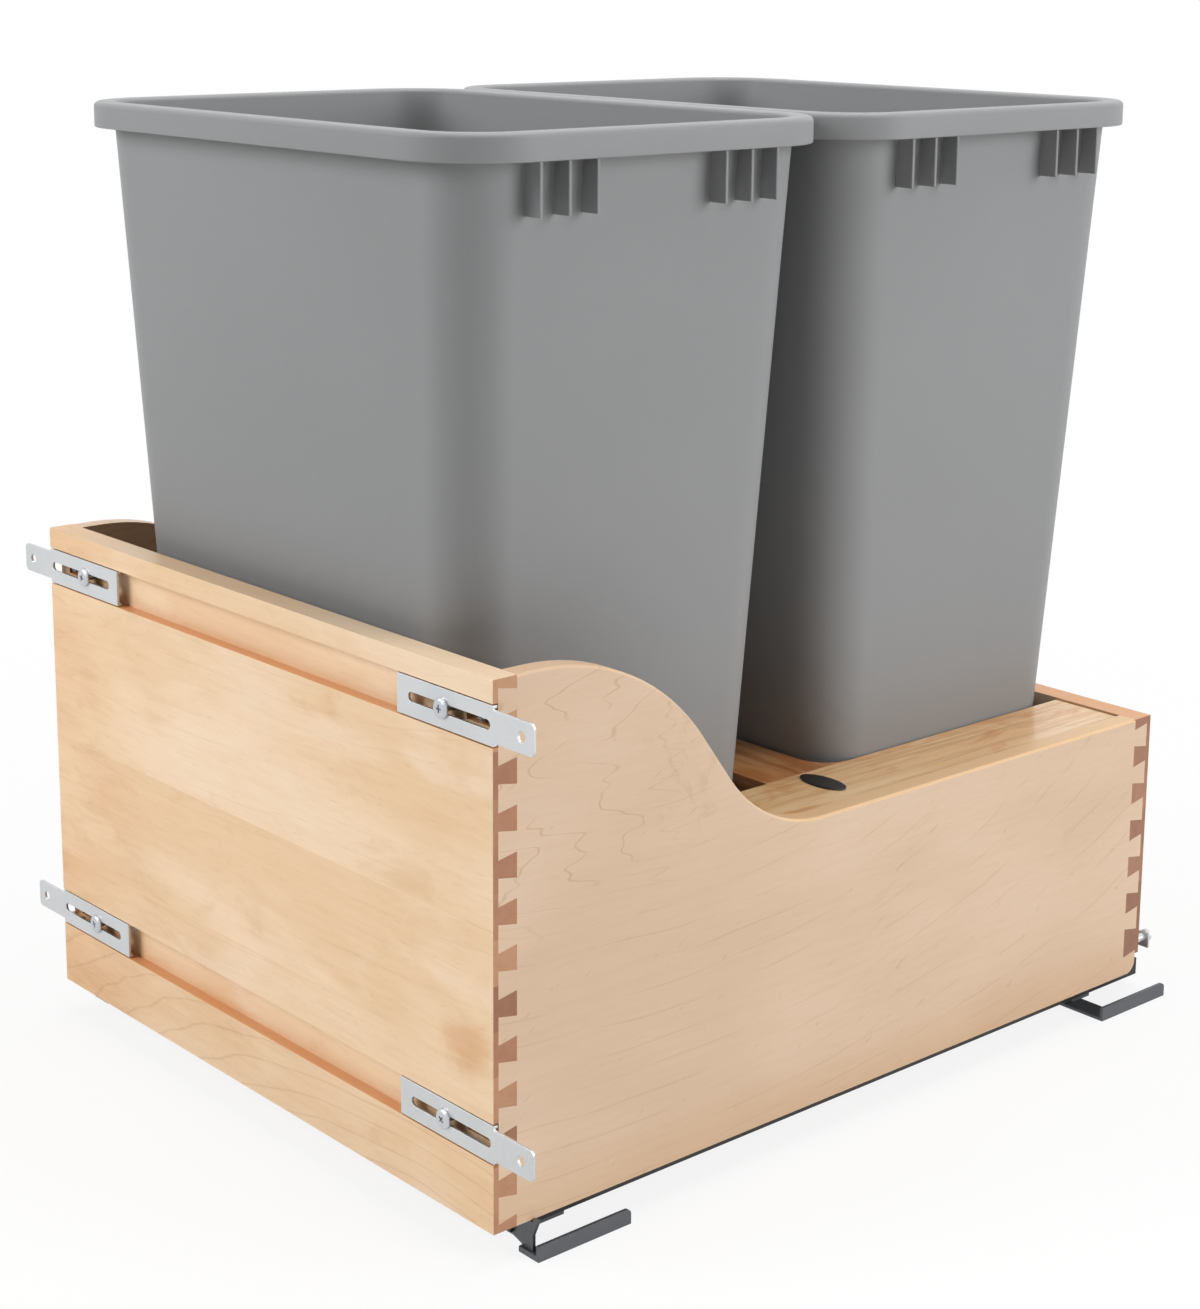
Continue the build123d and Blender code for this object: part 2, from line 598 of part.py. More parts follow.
def four_corners(maker):
    """One copy of a bracket fitting at each end of each groove."""
    pieces = []
    for center_z in (LOWER_GROOVE_Z, UPPER_GROOVE_Z):
        right = maker(center_z)
        pieces += [right, to_left(right)]
    return Compound(children=[solid for piece in pieces for solid in piece.solids()])


# Bins

def bin_taper(inset, low, high):
    """The tapered, round-cornered body between two heights, drawn in by an inset, its base bevelled."""
    (low_x, low_y), (high_x, high_y) = [
        (bin_half_size(BIN_BASE_WIDTH, BIN_RIM_WIDTH, z) - inset,
         bin_half_size(BIN_BASE_DEPTH, BIN_RIM_DEPTH, z) - inset) for z in (low, high)]
    wide = prism_y([(-low_x, low), (low_x, low), (high_x, high), (-high_x, high)],
                   -BIN_RIM_DEPTH, BIN_RIM_DEPTH)
    deep = prism_x([(-low_y, low), (low_y, low), (high_y, high), (-high_y, high)],
                   -BIN_RIM_WIDTH, BIN_RIM_WIDTH)
    body = wide & deep
    corners = body.edges().filter_by(lambda edge: edge.length > high - low)
    body = fillet(corners, BIN_CORNER_RADIUS - inset)
    return chamfer(body.faces().sort_by(Axis.Z)[0].edges(), BIN_BASE_CHAMFER)


def rim_slab(inset, low_z, high_z):
    """A level slab with the rim's outline, drawn in by an inset."""
    outline = RectangleRounded(BIN_RIM_WIDTH - 2 * inset, BIN_RIM_DEPTH - 2 * inset,
                               BIN_RIM_RADIUS - inset)
    return extrude(Plane(origin=(0, 0, low_z)) * outline, amount=high_z - low_z)


def bin_rim():
    """The turned-down rim: a skirt with a rounded top, hollow underneath."""
    skirt = rim_slab(0, BIN_BODY_HEIGHT, BIN_HEIGHT)
    skirt = fillet(skirt.faces().sort_by(Axis.Z)[-1].edges(), BIN_RIM_CROWN)
    return skirt - rim_slab(BIN_RIM_WALL, BIN_BODY_HEIGHT, BIN_HEIGHT - BIN_RIM_WALL)


def bin_rib(side, place):
    """One thin gusset under the rim, on the end face of the bin."""
    outer_x = BIN_RIM_WIDTH / 2 - RIB_SETBACK
    inner_x = bin_half_size(BIN_BASE_WIDTH, BIN_RIM_WIDTH, BIN_BODY_HEIGHT - RIB_DROP) - BIN_WALL / 2
    return block(side * inner_x, side * outer_x, place - RIB_THICKNESS / 2, place + RIB_THICKNESS / 2,
                 BIN_BODY_HEIGHT - RIB_DROP, BIN_HEIGHT - BIN_RIM_WALL)


def bin_body():
    """A bin that stands on z = 0 with its middle on the origin."""
    outer = bin_taper(0, 0, BIN_HEIGHT - BIN_RIM_WALL / 2)
    places = [group * RIB_GROUP_OFFSET + (i - (RIB_COUNT - 1) / 2) * RIB_PITCH
              for group in (-1, 1) for i in range(RIB_COUNT)]
    ribs = [bin_rib(side, place) for side in (-1, 1) for place in places]
    shell = outer + bin_rim() + ribs - bin_taper(BIN_WALL, BIN_FLOOR, BIN_HEIGHT)
    mouth = shell.faces().sort_by(Axis.Z)[-1].inner_wires()[0].edges()
    return chamfer(mouth, BIN_MOUTH_CHAMFER)


def bin_center_y(index):
    return FRONT_Y + (FRONT_BIN_REACH, REAR_BIN_REACH)[index]


# Telescopic slides, right-hand side

def lipped_channel(direction, base_z):
    """Half of a slide's outer pair: a channel with lips, open towards the given direction."""
    heights = [0, RAIL_HEIGHT, RAIL_HEIGHT, RAIL_HEIGHT - RAIL_SHEET, RAIL_HEIGHT - RAIL_SHEET, RAIL_SHEET]
    offsets = [0, 0, RAIL_LIP, RAIL_LIP, RAIL_SHEET, RAIL_SHEET]
    half = [(RAIL_INNER_X + x, base_z + direction * z) for x, z in zip(offsets, heights)]
    other = [(2 * RAIL_X - x, z) for x, z in reversed(half)]
    return half + other


def right_cabinet_rail():
    """The fixed rail, spot-welded to its feet."""
    return prism_y(lipped_channel(1, RAIL_FLOOR_GAP), RAIL_Y, RAIL_REAR_Y)


def right_middle_rail():
    """The I-shaped rail that runs between the cabinet rail and the drawer rail."""
    flange = MIDDLE_FLANGE_WIDTH / 2
    web = MIDDLE_WEB / 2
    low, high = MIDDLE_Z, MIDDLE_TOP_Z
    right = [(flange, low), (flange, low + RAIL_SHEET), (web, low + RAIL_SHEET),
             (web, high - RAIL_SHEET), (flange, high - RAIL_SHEET), (flange, high)]
    left = [(-x, z) for x, z in reversed(right)]
    outline = [(RAIL_X + x, z) for x, z in right + left]
    start = FRONT_Y + MIDDLE_FRONT
    return prism_y(outline, start, start + MIDDLE_LENGTH)


def hook_pin(clearance):
    """The pin that the drawer rail pushes into the back panel."""
    plate_y = BACK_Y + HOOK_STANDOFF
    start = (SIDE_X - HOOK_PIN_REACH, plate_y, HOOK_PIN_Z)
    length = HOOK_STANDOFF + HOOK_PIN_BITE + clearance
    return rod(start, (0, -1, 0), length, HOOK_PIN_RADIUS + clearance)


def right_drawer_rail():
    """The rail under the drawer, with its rear hook, its lever notch and its closer striker."""
    rail = prism_y(lipped_channel(-1, BOTTOM_Z), DRAWER_RAIL_Y, DRAWER_RAIL_REAR_Y)
    plate_y = BACK_Y + HOOK_STANDOFF
    inner_x = SIDE_X - HOOK_INNER_REACH
    tongue = block(inner_x, RAIL_OUTER_X, DRAWER_RAIL_REAR_Y - CUT_OVERRUN, plate_y + HOOK_SHEET,
                   BOTTOM_Z - RAIL_SHEET, BOTTOM_Z)
    upstand = block(inner_x, SIDE_X - HOOK_OUTER_REACH, plate_y, plate_y + HOOK_SHEET,
                    BOTTOM_Z - RAIL_SHEET, HOOK_TOP_Z)
    head_at = (SIDE_X - HOOK_PIN_REACH, plate_y + HOOK_SHEET, HOOK_PIN_Z)
    head = rod(head_at, (0, 1, 0), HOOK_HEAD_HEIGHT, HOOK_HEAD_RADIUS)
    notch = block(RAIL_INNER_X - CUT_OVERRUN, RAIL_INNER_X + RAIL_SHEET + CUT_OVERRUN,
                  LEVER_NOSE_Y - LEVER_NOTCH_CLEARANCE,
                  LEVER_NOSE_Y + LEVER_NOSE_LENGTH + LEVER_NOTCH_CLEARANCE,
                  LEVER_TOP_Z - LEVER_THICKNESS - LEVER_GAP, LEVER_TOP_Z + LEVER_GAP)
    return rail + tongue + upstand + hook_pin(0) + head + closer_striker() - notch


def closer_striker():
    """The tab and stud that meet the soft-close catch."""
    tab_z = BOTTOM_Z - RAIL_SHEET
    stud_low = CLOSER_TOP_Z + STRIKER_FLOOR_GAP
    tab = block(CLOSER_X - STRIKER_TAB_LENGTH / 2, RAIL_INNER_X + RAIL_SHEET,
                STRIKER_Y - STRIKER_TAB_LENGTH / 2, STRIKER_Y + STRIKER_TAB_LENGTH / 2, tab_z, BOTTOM_Z)
    stud = rod((CLOSER_X, STRIKER_Y, stud_low), (0, 0, 1), tab_z - stud_low, STRIKER_RADIUS)
    return tab + stud


def roller_places():
    """Where the rollers sit along a carriage."""
    margin = CARRIAGE_LENGTH * roller_end_share
    pitch = (CARRIAGE_LENGTH - 2 * margin) / (ROLLER_COUNT - 1)
    return [CARRIAGE_Y + margin + i * pitch for i in range(ROLLER_COUNT)]


def roller_height(upper):
    """The height of a carriage's roller axes."""
    offset = RAIL_SHEET + ROLLER_CLEARANCE + ROLLER_RADIUS
    return BOTTOM_Z - offset if upper else RAIL_FLOOR_GAP + offset


def rollers(upper):
    """The steel rollers of one carriage."""
    z = roller_height(upper)
    bars = [rod((RAIL_X - ROLLER_LENGTH / 2, y, z), (1, 0, 0), ROLLER_LENGTH, ROLLER_RADIUS)
            for y in roller_places()]
    return Compound(children=[solid for bar in bars for solid in bar.solids()])


def carriage(upper):
    """The moulded cage that spaces the rollers."""
    half = RAIL_WIDTH / 2 - RAIL_SHEET - CARRIAGE_SIDE_GAP
    z = roller_height(upper)
    cage = block(RAIL_X - half, RAIL_X + half, CARRIAGE_Y, CARRIAGE_Y + CARRIAGE_LENGTH,
                 z - CARRIAGE_THICKNESS / 2, z + CARRIAGE_THICKNESS / 2)
    reach = ROLLER_RADIUS + WINDOW_CLEARANCE
    wide = ROLLER_LENGTH / 2 + WINDOW_CLEARANCE
    windows = [block(RAIL_X - wide, RAIL_X + wide, y - reach, y + reach,
                     z - CARRIAGE_THICKNESS, z + CARRIAGE_THICKNESS) for y in roller_places()]
    return cage - windows


# Floor feet, right-hand side

def foot_strip(start_y):
    """The floor flange and the turned-up outer lip of one foot, with its screw hole."""
    end_y = start_y + FOOT_LENGTH
    flange = block(FOOT_OUTER_X - FOOT_FLANGE_WIDTH, FOOT_OUTER_X, start_y, end_y, 0, FOOT_SHEET)
    lip = block(FOOT_OUTER_X - FOOT_SHEET, FOOT_OUTER_X, start_y, end_y, 0, FOOT_LIP_HEIGHT)
    corner = lip.edges().filter_by(Axis.X).sort_by(lambda e: e.center().Y + e.center().Z)[-1]
    hole = rod((foot_hole_x(), start_y + FOOT_LENGTH / 2, -CUT_OVERRUN), (0, 0, 1),
               FOOT_SHEET + 2 * CUT_OVERRUN, FOOT_HOLE_RADIUS)
    return flange + fillet(corner, FOOT_LIP_RADIUS) - hole


def foot_hole_x():
    return SIDE_X + FOOT_HOLE_REACH


def right_front_foot():
    """The front foot: a strip, a toe and a flared leg that rises to the rail."""
    toe_x = SIDE_X - FOOT_TOE_REACH
    leg_y = RAIL_Y + FOOT_SHEET
    leg_out = SIDE_X + FOOT_LEG_OUTER_REACH
    flare_x = SIDE_X + FOOT_LEG_FLARE_REACH
    top_z = BOX_Z - FOOT_LEG_TOP_GAP
    tab_z = RAIL_FLOOR_GAP - FOOT_SHEET
    toe = block(toe_x, FOOT_OUTER_X, RAIL_Y, leg_y, 0, FOOT_TOE_HEIGHT)
    sole = block(toe_x, FOOT_OUTER_X, RAIL_Y, leg_y + FOOT_SHEET, 0, FOOT_SHEET)
    ear_z = BOX_Z + FOOT_EAR_RISE
    leg = prism_y([(toe_x, 0), (leg_out, 0), (leg_out, FOOT_LEG_NECK), (flare_x, ear_z),
                   (leg_out, ear_z), (leg_out, top_z), (RAIL_OUTER_X, top_z),
                   (RAIL_OUTER_X, tab_z), (toe_x, tab_z - FOOT_SHEET)],
                  leg_y, leg_y + FOOT_SHEET)
    rail = block(RAIL_INNER_X, RAIL_OUTER_X, RAIL_Y, RAIL_REAR_Y, RAIL_FLOOR_GAP, BOX_Z)
    tab = block(SIDE_X - FOOT_TAB_REACH, leg_out, leg_y, leg_y + FOOT_SHEET, tab_z, RAIL_FLOOR_GAP)
    shelf = block(SIDE_X - FOOT_TAB_REACH, RAIL_OUTER_X, leg_y, leg_y + FOOT_TAB_FRONT_LENGTH,
                  tab_z, RAIL_FLOOR_GAP)
    return foot_strip(RAIL_Y) + toe + sole + (leg - rail) + tab + shelf


def right_rear_foot():
    """The rear foot: a strip and a low bridge that steps up under the rail."""
    start_y = RAIL_REAR_Y - FOOT_LENGTH
    inner_x = SIDE_X - FOOT_TAB_REACH
    tab_z = RAIL_FLOOR_GAP - FOOT_SHEET
    end_y = start_y + FOOT_TAB_LENGTH
    bridge = block(inner_x, FOOT_OUTER_X, start_y, end_y, 0, FOOT_SHEET)
    riser = block(inner_x - FOOT_SHEET, inner_x, start_y, end_y, 0, RAIL_FLOOR_GAP)
    shelf = block(inner_x - FOOT_SHEET, RAIL_OUTER_X, start_y, end_y, tab_z, RAIL_FLOOR_GAP)
    return foot_strip(start_y) + bridge + riser + shelf


# Locking clips, right-hand side

def clip_screw_shank(clearance):
    """The screw's shank, up through the clip's plate into the drawer's bottom."""
    seat = (RAIL_INNER_X - CLIP_WIDTH + CLIP_SCREW_SIDE_INSET, CLIP_Y + CLIP_LENGTH / 2, CLIP_Z)
    return rod(seat, (0, 0, 1), CLIP_PLATE + CLIP_SCREW_BITE + clearance, CLIP_SCREW_RADIUS + clearance)


def clip_screw():
    """The screw that holds the locking clip."""
    shank = clip_screw_shank(0)
    seat = shank.faces().sort_by(Axis.Z)[0].center()
    return shank + rod(seat, (0, 0, -1), CLIP_SCREW_HEAD_HEIGHT, CLIP_SCREW_HEAD_RADIUS)


def right_locking_clip():
    """The plate under the drawer's bottom that carries the release lever's pivot."""
    inner_x = RAIL_INNER_X - CLIP_WIDTH
    plate = block(inner_x, RAIL_INNER_X, CLIP_Y, CLIP_Y + CLIP_LENGTH, CLIP_Z, BOTTOM_Z)
    corners = plate.edges().filter_by(Axis.Z).group_by(Axis.X)[0]
    plate = fillet(corners, CLIP_WALL)
    fence = block(inner_x, inner_x + CLIP_WALL, CLIP_Y + CLIP_WALL, CLIP_Y + CLIP_LENGTH - CLIP_WALL,
                  BOTTOM_Z - CLIP_WALL_HEIGHT, CLIP_Z)
    pivot = rod((LEVER_PIVOT_X, LEVER_PIVOT_Y, CLIP_Z), (0, 0, -1), LEVER_THICKNESS + 2 * LEVER_GAP,
                LEVER_PIVOT_RADIUS)
    return plate + fence + pivot - clip_screw_shank(FASTENER_CLEARANCE)


def right_release_lever():
    """The lever whose nose sits in the drawer rail's notch, with its finger handle in front."""
    low_z = LEVER_TOP_Z - LEVER_THICKNESS
    half = LEVER_ARM_WIDTH / 2
    arm = block(LEVER_PIVOT_X - half, LEVER_PIVOT_X + half, LEVER_NOSE_Y, LEVER_PIVOT_Y + half,
                low_z, LEVER_TOP_Z)
    ends = arm.edges().filter_by(Axis.Z).group_by(Axis.Y)[-1]
    nose = block(LEVER_PIVOT_X, RAIL_INNER_X + LEVER_NOSE_BITE, LEVER_NOSE_Y,
                 LEVER_NOSE_Y + LEVER_NOSE_LENGTH, low_z, LEVER_TOP_Z)
    handle = block(LEVER_PIVOT_X + half - LEVER_HANDLE_LENGTH, LEVER_PIVOT_X + half,
                   LEVER_NOSE_Y - LEVER_ARM_WIDTH, LEVER_NOSE_Y, low_z, LEVER_TOP_Z)
    tips = handle.edges().filter_by(Axis.Z).group_by(Axis.X)[0]
    bore = rod((LEVER_PIVOT_X, LEVER_PIVOT_Y, low_z - CUT_OVERRUN), (0, 0, 1),
               LEVER_THICKNESS + 2 * CUT_OVERRUN, LEVER_PIVOT_RADIUS + LEVER_PIVOT_CLEARANCE)
    return fillet(ends, LEVER_END_RADIUS) + nose + fillet(tips, LEVER_END_RADIUS) - bore


# Soft-close units, right-hand side

def closer_housing():
    """A tray on the cabinet rail's inner wall, open through a slot in its top."""
    half = CLOSER_WIDTH / 2
    case = block(CLOSER_X - half, CLOSER_X + half, CLOSER_Y, CLOSER_REAR_Y, RAIL_FLOOR_GAP, CLOSER_TOP_Z)
    inner = half - CLOSER_WALL
    hollow = block(CLOSER_X - inner, CLOSER_X + inner, CLOSER_Y + CLOSER_WALL, CLOSER_REAR_Y - CLOSER_WALL,
                   RAIL_FLOOR_GAP + CLOSER_WALL, CLOSER_TOP_Z - CLOSER_WALL)
    slot = block(CLOSER_X - CLOSER_SLOT_WIDTH / 2, CLOSER_X + CLOSER_SLOT_WIDTH / 2,
                 CLOSER_Y + CLOSER_WALL, CLOSER_REAR_Y - CLOSER_WALL,
                 CLOSER_TOP_Z - CLOSER_WALL - CUT_OVERRUN, CLOSER_TOP_Z + CUT_OVERRUN)
    return case - hollow - slot


def closer_catch():
    """The slider with one horn behind the drawer rail's stud."""
    half = CATCH_WIDTH / 2
    rear_y = CATCH_Y + CATCH_LENGTH
    low_z = RAIL_FLOOR_GAP + CLOSER_WALL + CATCH_SEAT_GAP
    slider = block(CLOSER_X - half, CLOSER_X + half, CATCH_Y, rear_y, low_z, CLOSER_TOP_Z)
    horn = block(CLOSER_X - half, CLOSER_X + half, rear_y - CATCH_HORN_LENGTH, rear_y,
                 low_z, CLOSER_TOP_Z + CATCH_HORN_RISE)
    return slider + horn


def closer_damper():
    """The oil damper's cylinder and rod, in line with the catch."""
    z = RAIL_FLOOR_GAP + CLOSER_HEIGHT / 2
    start_y = CLOSER_Y + CLOSER_WALL
    cylinder = rod((CLOSER_X, start_y, z), (0, 1, 0), DAMPER_LENGTH, DAMPER_RADIUS)
    rod_length = CATCH_Y - start_y - DAMPER_LENGTH
    return cylinder + rod((CLOSER_X, start_y + DAMPER_LENGTH, z), (0, 1, 0), rod_length, DAMPER_ROD_RADIUS)


def save_drawer():
    side = right_side_panel()
    save_pair(side, "side_panel")
    save(front_panel(), "front_panel")
    save(back_panel(), "back_panel")
    hole = clip_screw_shank(FASTENER_CLEARANCE)
    save(bottom_panel() - hole - to_left(hole), "bottom_panel")
    strip = deck_strip()
    save_pair(strip, "deck_strip")
    save(deck_cross_bar(), "deck_cross_bar")
    save(deck_front_bar(), "deck_front_bar")
    save_pair(deck_cleat(), "deck_cleat")
    save(badge_plate(), "badge_plate")


def save_brackets():
    for level, center_z in (("lower", LOWER_GROOVE_Z), ("upper", UPPER_GROOVE_Z)):
        save_pair(door_bracket(center_z), f"{level}_door_bracket")
    save(four_corners(clamp_screw), "bracket_clamp_screws")
    save(four_corners(adjusting_screw), "bracket_adjusting_screws")
    save(four_corners(adjuster_lug), "bracket_adjuster_lugs")


def save_bins():
    body = bin_body()
    for index, node in enumerate(("front_bin", "rear_bin")):
        save(Pos(0, bin_center_y(index), BIN_FLOOR_Z) * body, node)


def save_slides():
    save_pair(right_cabinet_rail(), "cabinet_rail")
    save_pair(right_middle_rail(), "middle_rail")
    save_pair(right_drawer_rail(), "drawer_rail")
    for level, upper in (("lower", False), ("upper", True)):
        save_pair(carriage(upper), f"{level}_carriage")
        save_pair(rollers(upper), f"{level}_rollers")
    save_pair(right_front_foot(), "front_foot")
    save_pair(right_rear_foot(), "rear_foot")


def save_fittings():
    save_pair(right_locking_clip(), "locking_clip")
    save_pair(right_release_lever(), "release_lever")
    save(Compound(children=[clip_screw(), to_left(clip_screw())]), "clip_screws")
    save_pair(closer_housing(), "soft_close_housing")
    save_pair(closer_catch(), "soft_close_catch")
    save_pair(closer_damper(), "soft_close_damper")


os.makedirs("parts", exist_ok=True)
save_drawer()
save_brackets()
save_bins()
save_slides()
save_fittings()
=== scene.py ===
"""Looks of the pull-out bin frame: materials, bins, screws, eased edges, floor, light and camera.

Metres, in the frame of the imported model: +X to the right, -Y towards the user, +Z up.
"""
import json
from math import cos, floor, pi, radians, sin

import bmesh
import bpy
from mathutils import Matrix, Vector


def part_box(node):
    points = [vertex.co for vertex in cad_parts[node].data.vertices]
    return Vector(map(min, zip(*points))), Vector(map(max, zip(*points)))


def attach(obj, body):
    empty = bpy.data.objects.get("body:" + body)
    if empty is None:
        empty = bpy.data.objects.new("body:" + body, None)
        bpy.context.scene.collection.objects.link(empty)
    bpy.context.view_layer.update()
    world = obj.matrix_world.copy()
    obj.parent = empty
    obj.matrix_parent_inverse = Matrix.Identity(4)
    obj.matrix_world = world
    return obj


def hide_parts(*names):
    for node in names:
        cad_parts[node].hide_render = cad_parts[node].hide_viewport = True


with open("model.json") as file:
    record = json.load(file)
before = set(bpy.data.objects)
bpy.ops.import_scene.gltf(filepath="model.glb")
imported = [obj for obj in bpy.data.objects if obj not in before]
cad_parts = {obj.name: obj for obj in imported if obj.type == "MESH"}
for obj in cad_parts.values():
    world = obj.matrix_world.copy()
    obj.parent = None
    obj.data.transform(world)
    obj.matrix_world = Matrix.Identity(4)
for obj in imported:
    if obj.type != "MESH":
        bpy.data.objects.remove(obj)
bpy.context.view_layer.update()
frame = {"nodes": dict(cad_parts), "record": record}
nodes = frame["nodes"]
MM = 0.001
BODIES = frame["record"]["behaviour"]["bodies"]
BODY = {node: body for body, members in BODIES.items() for node in members}

# Camera, solved from the photo: pixels of a picture IMAGE_HEIGHT high, metres and degrees
IMAGE_HEIGHT = 1309.0
FOCAL = 2520.0
AXIS_ROW = 490.0
CAMERA_AT = (1.1763, -1.0508, 0.6837)
CAMERA_YAW, CAMERA_PITCH, CAMERA_ROLL = 48.72, 11.98, 0.42
SENSOR = 36.0
NEAR, FAR = 0.05, 60.0


def make_camera():
    yaw, pitch, roll = (radians(a) for a in (CAMERA_YAW, CAMERA_PITCH, CAMERA_ROLL))
    level = Vector((cos(yaw), sin(yaw), 0))
    ahead = Vector((-sin(yaw), cos(yaw), 0))
    up = sin(pitch) * ahead + cos(pitch) * Vector((0, 0, 1))
    forward = cos(pitch) * ahead - sin(pitch) * Vector((0, 0, 1))
    right = cos(roll) * level + sin(roll) * up
    above = -sin(roll) * level + cos(roll) * up
    data = bpy.data.cameras.new("camera")
    data.sensor_width = SENSOR
    data.sensor_height = SENSOR
    data.sensor_fit = "VERTICAL"
    data.lens = FOCAL * SENSOR / IMAGE_HEIGHT
    data.shift_y = (AXIS_ROW - IMAGE_HEIGHT / 2) / IMAGE_HEIGHT
    data.clip_start, data.clip_end = NEAR, FAR
    camera = bpy.data.objects.new("camera", data)
    turn = Matrix((right, above, -forward)).transposed().to_4x4()
    camera.matrix_world = Matrix.Translation(CAMERA_AT) @ turn
    bpy.context.scene.collection.objects.link(camera)
    bpy.context.scene.camera = camera


# Materials

def linear(r, g, b):
    """A colour written in sRGB, 0 to 255, as linear light."""
    def one(c):
        c = c / 255
        return c / 12.92 if c <= 0.04045 else ((c + 0.055) / 1.055) ** 2.4
    return (one(r), one(g), one(b), 1.0)


class Nodes:
    """A node tree, with short calls to add and join nodes."""

    def __init__(self, tree):
        self.tree = tree
        tree.nodes.clear()

    def add(self, kind, **settings):
        node = self.tree.nodes.new(kind)
        for key, value in settings.items():
            setattr(node, key, value)
        return node

    def join(self, source, target):
        self.tree.links.new(source, target)

    def put(self, socket, value):
        if isinstance(value, bpy.types.NodeSocket):
            self.join(value, socket)
        else:
            socket.default_value = value

    def fill(self, node, **values):
        """Sets a node's inputs by their names."""
        for key, value in values.items():
            self.put(node.inputs[key.replace("_", " ")], value)
        return node

    def noise(self, vector, scale=1.0, detail=2.0, rough=0.5, bend=0.0):
        node = self.add("ShaderNodeTexNoise")
        self.fill(node, Vector=vector, Scale=scale, Detail=detail, Roughness=rough, Distortion=bend)
        return node.outputs["Fac"]

    def math(self, operation, a, b=0.0):
        node = self.add("ShaderNodeMath", operation=operation)
        self.put(node.inputs[0], a)
        self.put(node.inputs[1], b)
        return node.outputs[0]

    def times(self, a, *others):
        for b in others:
            a = self.math("MULTIPLY", a, b)
        return a

    def plus(self, a, *others):
        for b in others:
            a = self.math("ADD", a, b)
        return a

    def length(self, a, b):
        return self.math("SQRT", self.plus(self.times(a, a), self.times(b, b)))

    def about_zero(self, value):
        """A noise or a fraction of a turn, moved to lie about zero."""
        return self.plus(value, -0.5)

    def between(self, value, low, high, out_low=0.0, out_high=1.0):
        """A smooth step of a value from one end to the other."""
        node = self.add("ShaderNodeMapRange", interpolation_type="SMOOTHSTEP")
        self.fill(node, Value=value, From_Min=low, From_Max=high, To_Min=out_low, To_Max=out_high)
        return node.outputs["Result"]

    def rise(self, value, band):
        return self.between(value, *band)

    def fall(self, value, band):
        return self.between(value, *band, 1.0, 0.0)

    def mix(self, share, a, b, blend="MIX"):
        """Two colours mixed; sockets 0, 6 and 7 take the share and the colours."""
        node = self.add("ShaderNodeMix", data_type="RGBA", blend_type=blend)
        node.clamp_factor = True
        self.put(node.inputs[0], share)
        self.put(node.inputs[6], a)
        self.put(node.inputs[7], b)
        return node.outputs[2]

    def tint(self, share, colour, stain):
        """A colour multiplied by a stain or a painted shade, in places."""
        return self.mix(share, colour, stain + (1.0,), "MULTIPLY")

    def stained_or_shaded(self, colour, stain, share, *where):
        """A colour with a share of a stain or a painted shade, where all the masks given allow it."""
        return self.tint(self.times(*where, share), colour, stain)

    def parts(self, source):
        node = self.add("ShaderNodeSeparateXYZ")
        self.join(source, node.inputs[0])
        return dict(zip("XYZ", node.outputs))

    def vector(self, *values):
        node = self.add("ShaderNodeCombineXYZ")
        for socket, value in zip(node.inputs, values):
            self.put(socket, value)
        return node.outputs[0]

    def seen(self):
        """One for the rays that show a thing in the picture, zero for the rest."""
        path = self.add("ShaderNodeLightPath")
        camera, glossy, through = (path.outputs["Is %s Ray" % kind]
                                   for kind in ("Camera", "Glossy", "Transmission"))
        return self.math("MAXIMUM", self.math("MAXIMUM", camera, glossy), through)


class Surface(Nodes):
    """A material around one principled shader."""

    def __init__(self, name):
        self.material = bpy.data.materials.new(name)
        self.material.use_nodes = True
        super().__init__(self.material.node_tree)
        self.shader = self.add("ShaderNodeBsdfPrincipled")
        output = self.add("ShaderNodeOutputMaterial")
        self.join(self.shader.outputs[0], output.inputs[0])
        place = self.add("ShaderNodeTexCoord")
        self.place = place.outputs["Object"]
        self.normal = place.outputs["Normal"]

    def set(self, **values):
        self.fill(self.shader, **values)

    def roughness(self, grain, band, middle, spread):
        """Roughness about a middle, lower and higher by a spread as a grain varies."""
        lower, higher = spread
        return self.between(grain, *band, middle - lower, middle + higher)

    def bump(self, height, strength, distance):
        node = self.add("ShaderNodeBump")
        self.fill(node, Strength=strength, Distance=distance, Height=height)
        self.join(node.outputs[0], self.shader.inputs["Normal"])


# Places and sizes on the wood, from the frame where it has them
front_low, front_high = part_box("front_panel")
FRONT_FACE, BOX_FOOT = front_low.y, front_low.z
PINS = 12
PIN_PITCH = (front_high.z - front_low.z) / PINS
SIDE_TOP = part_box("back_panel")[1].z
GROOVE_SPARE = 0.8 * MM

# Noises are given as features to the metre along and across the grain
FINE_FIBRES = dict(along=70.0, across=1500.0, detail=3.0, rough=0.6)
FIBRE_BUMP, FIBRE_DEPTH, FIBRE_SPREAD = 0.10, 0.2 * MM, (0.05, 0.07)
SWAY_ALONG, SWAY_ACROSS, ZIGZAG_ALONG, ZIGZAG_SEED = 5.0, 9.0, 7.0, 4
END_CLOUDS, END_PORES = 160.0, 2600.0
FACING, END_FACING, UP_FACING = (0.6, 0.8), (0.75, 0.9), (0.4, 0.8)

# Stains multiply a colour
BROWN_LINE, SOFT_BROWN = (0.74, 0.62, 0.52), (0.88, 0.80, 0.70)
PINK_BROWN, PORE_BROWN = (0.90, 0.82, 0.76), (0.80, 0.72, 0.66)
END_BROWN, END_PORE_BROWN = (0.88, 0.78, 0.70), (0.78, 0.74, 0.72)

# End grain of the pins: each takes a tone between these three
FRONT_PINS = (linear(150, 100, 70), linear(168, 116, 82), linear(190, 142, 104))
REAR_PINS = (linear(140, 94, 68), linear(152, 104, 76), linear(164, 116, 86))
PLAIN_ENDS = (linear(176, 128, 92), linear(190, 144, 106), linear(204, 160, 122))


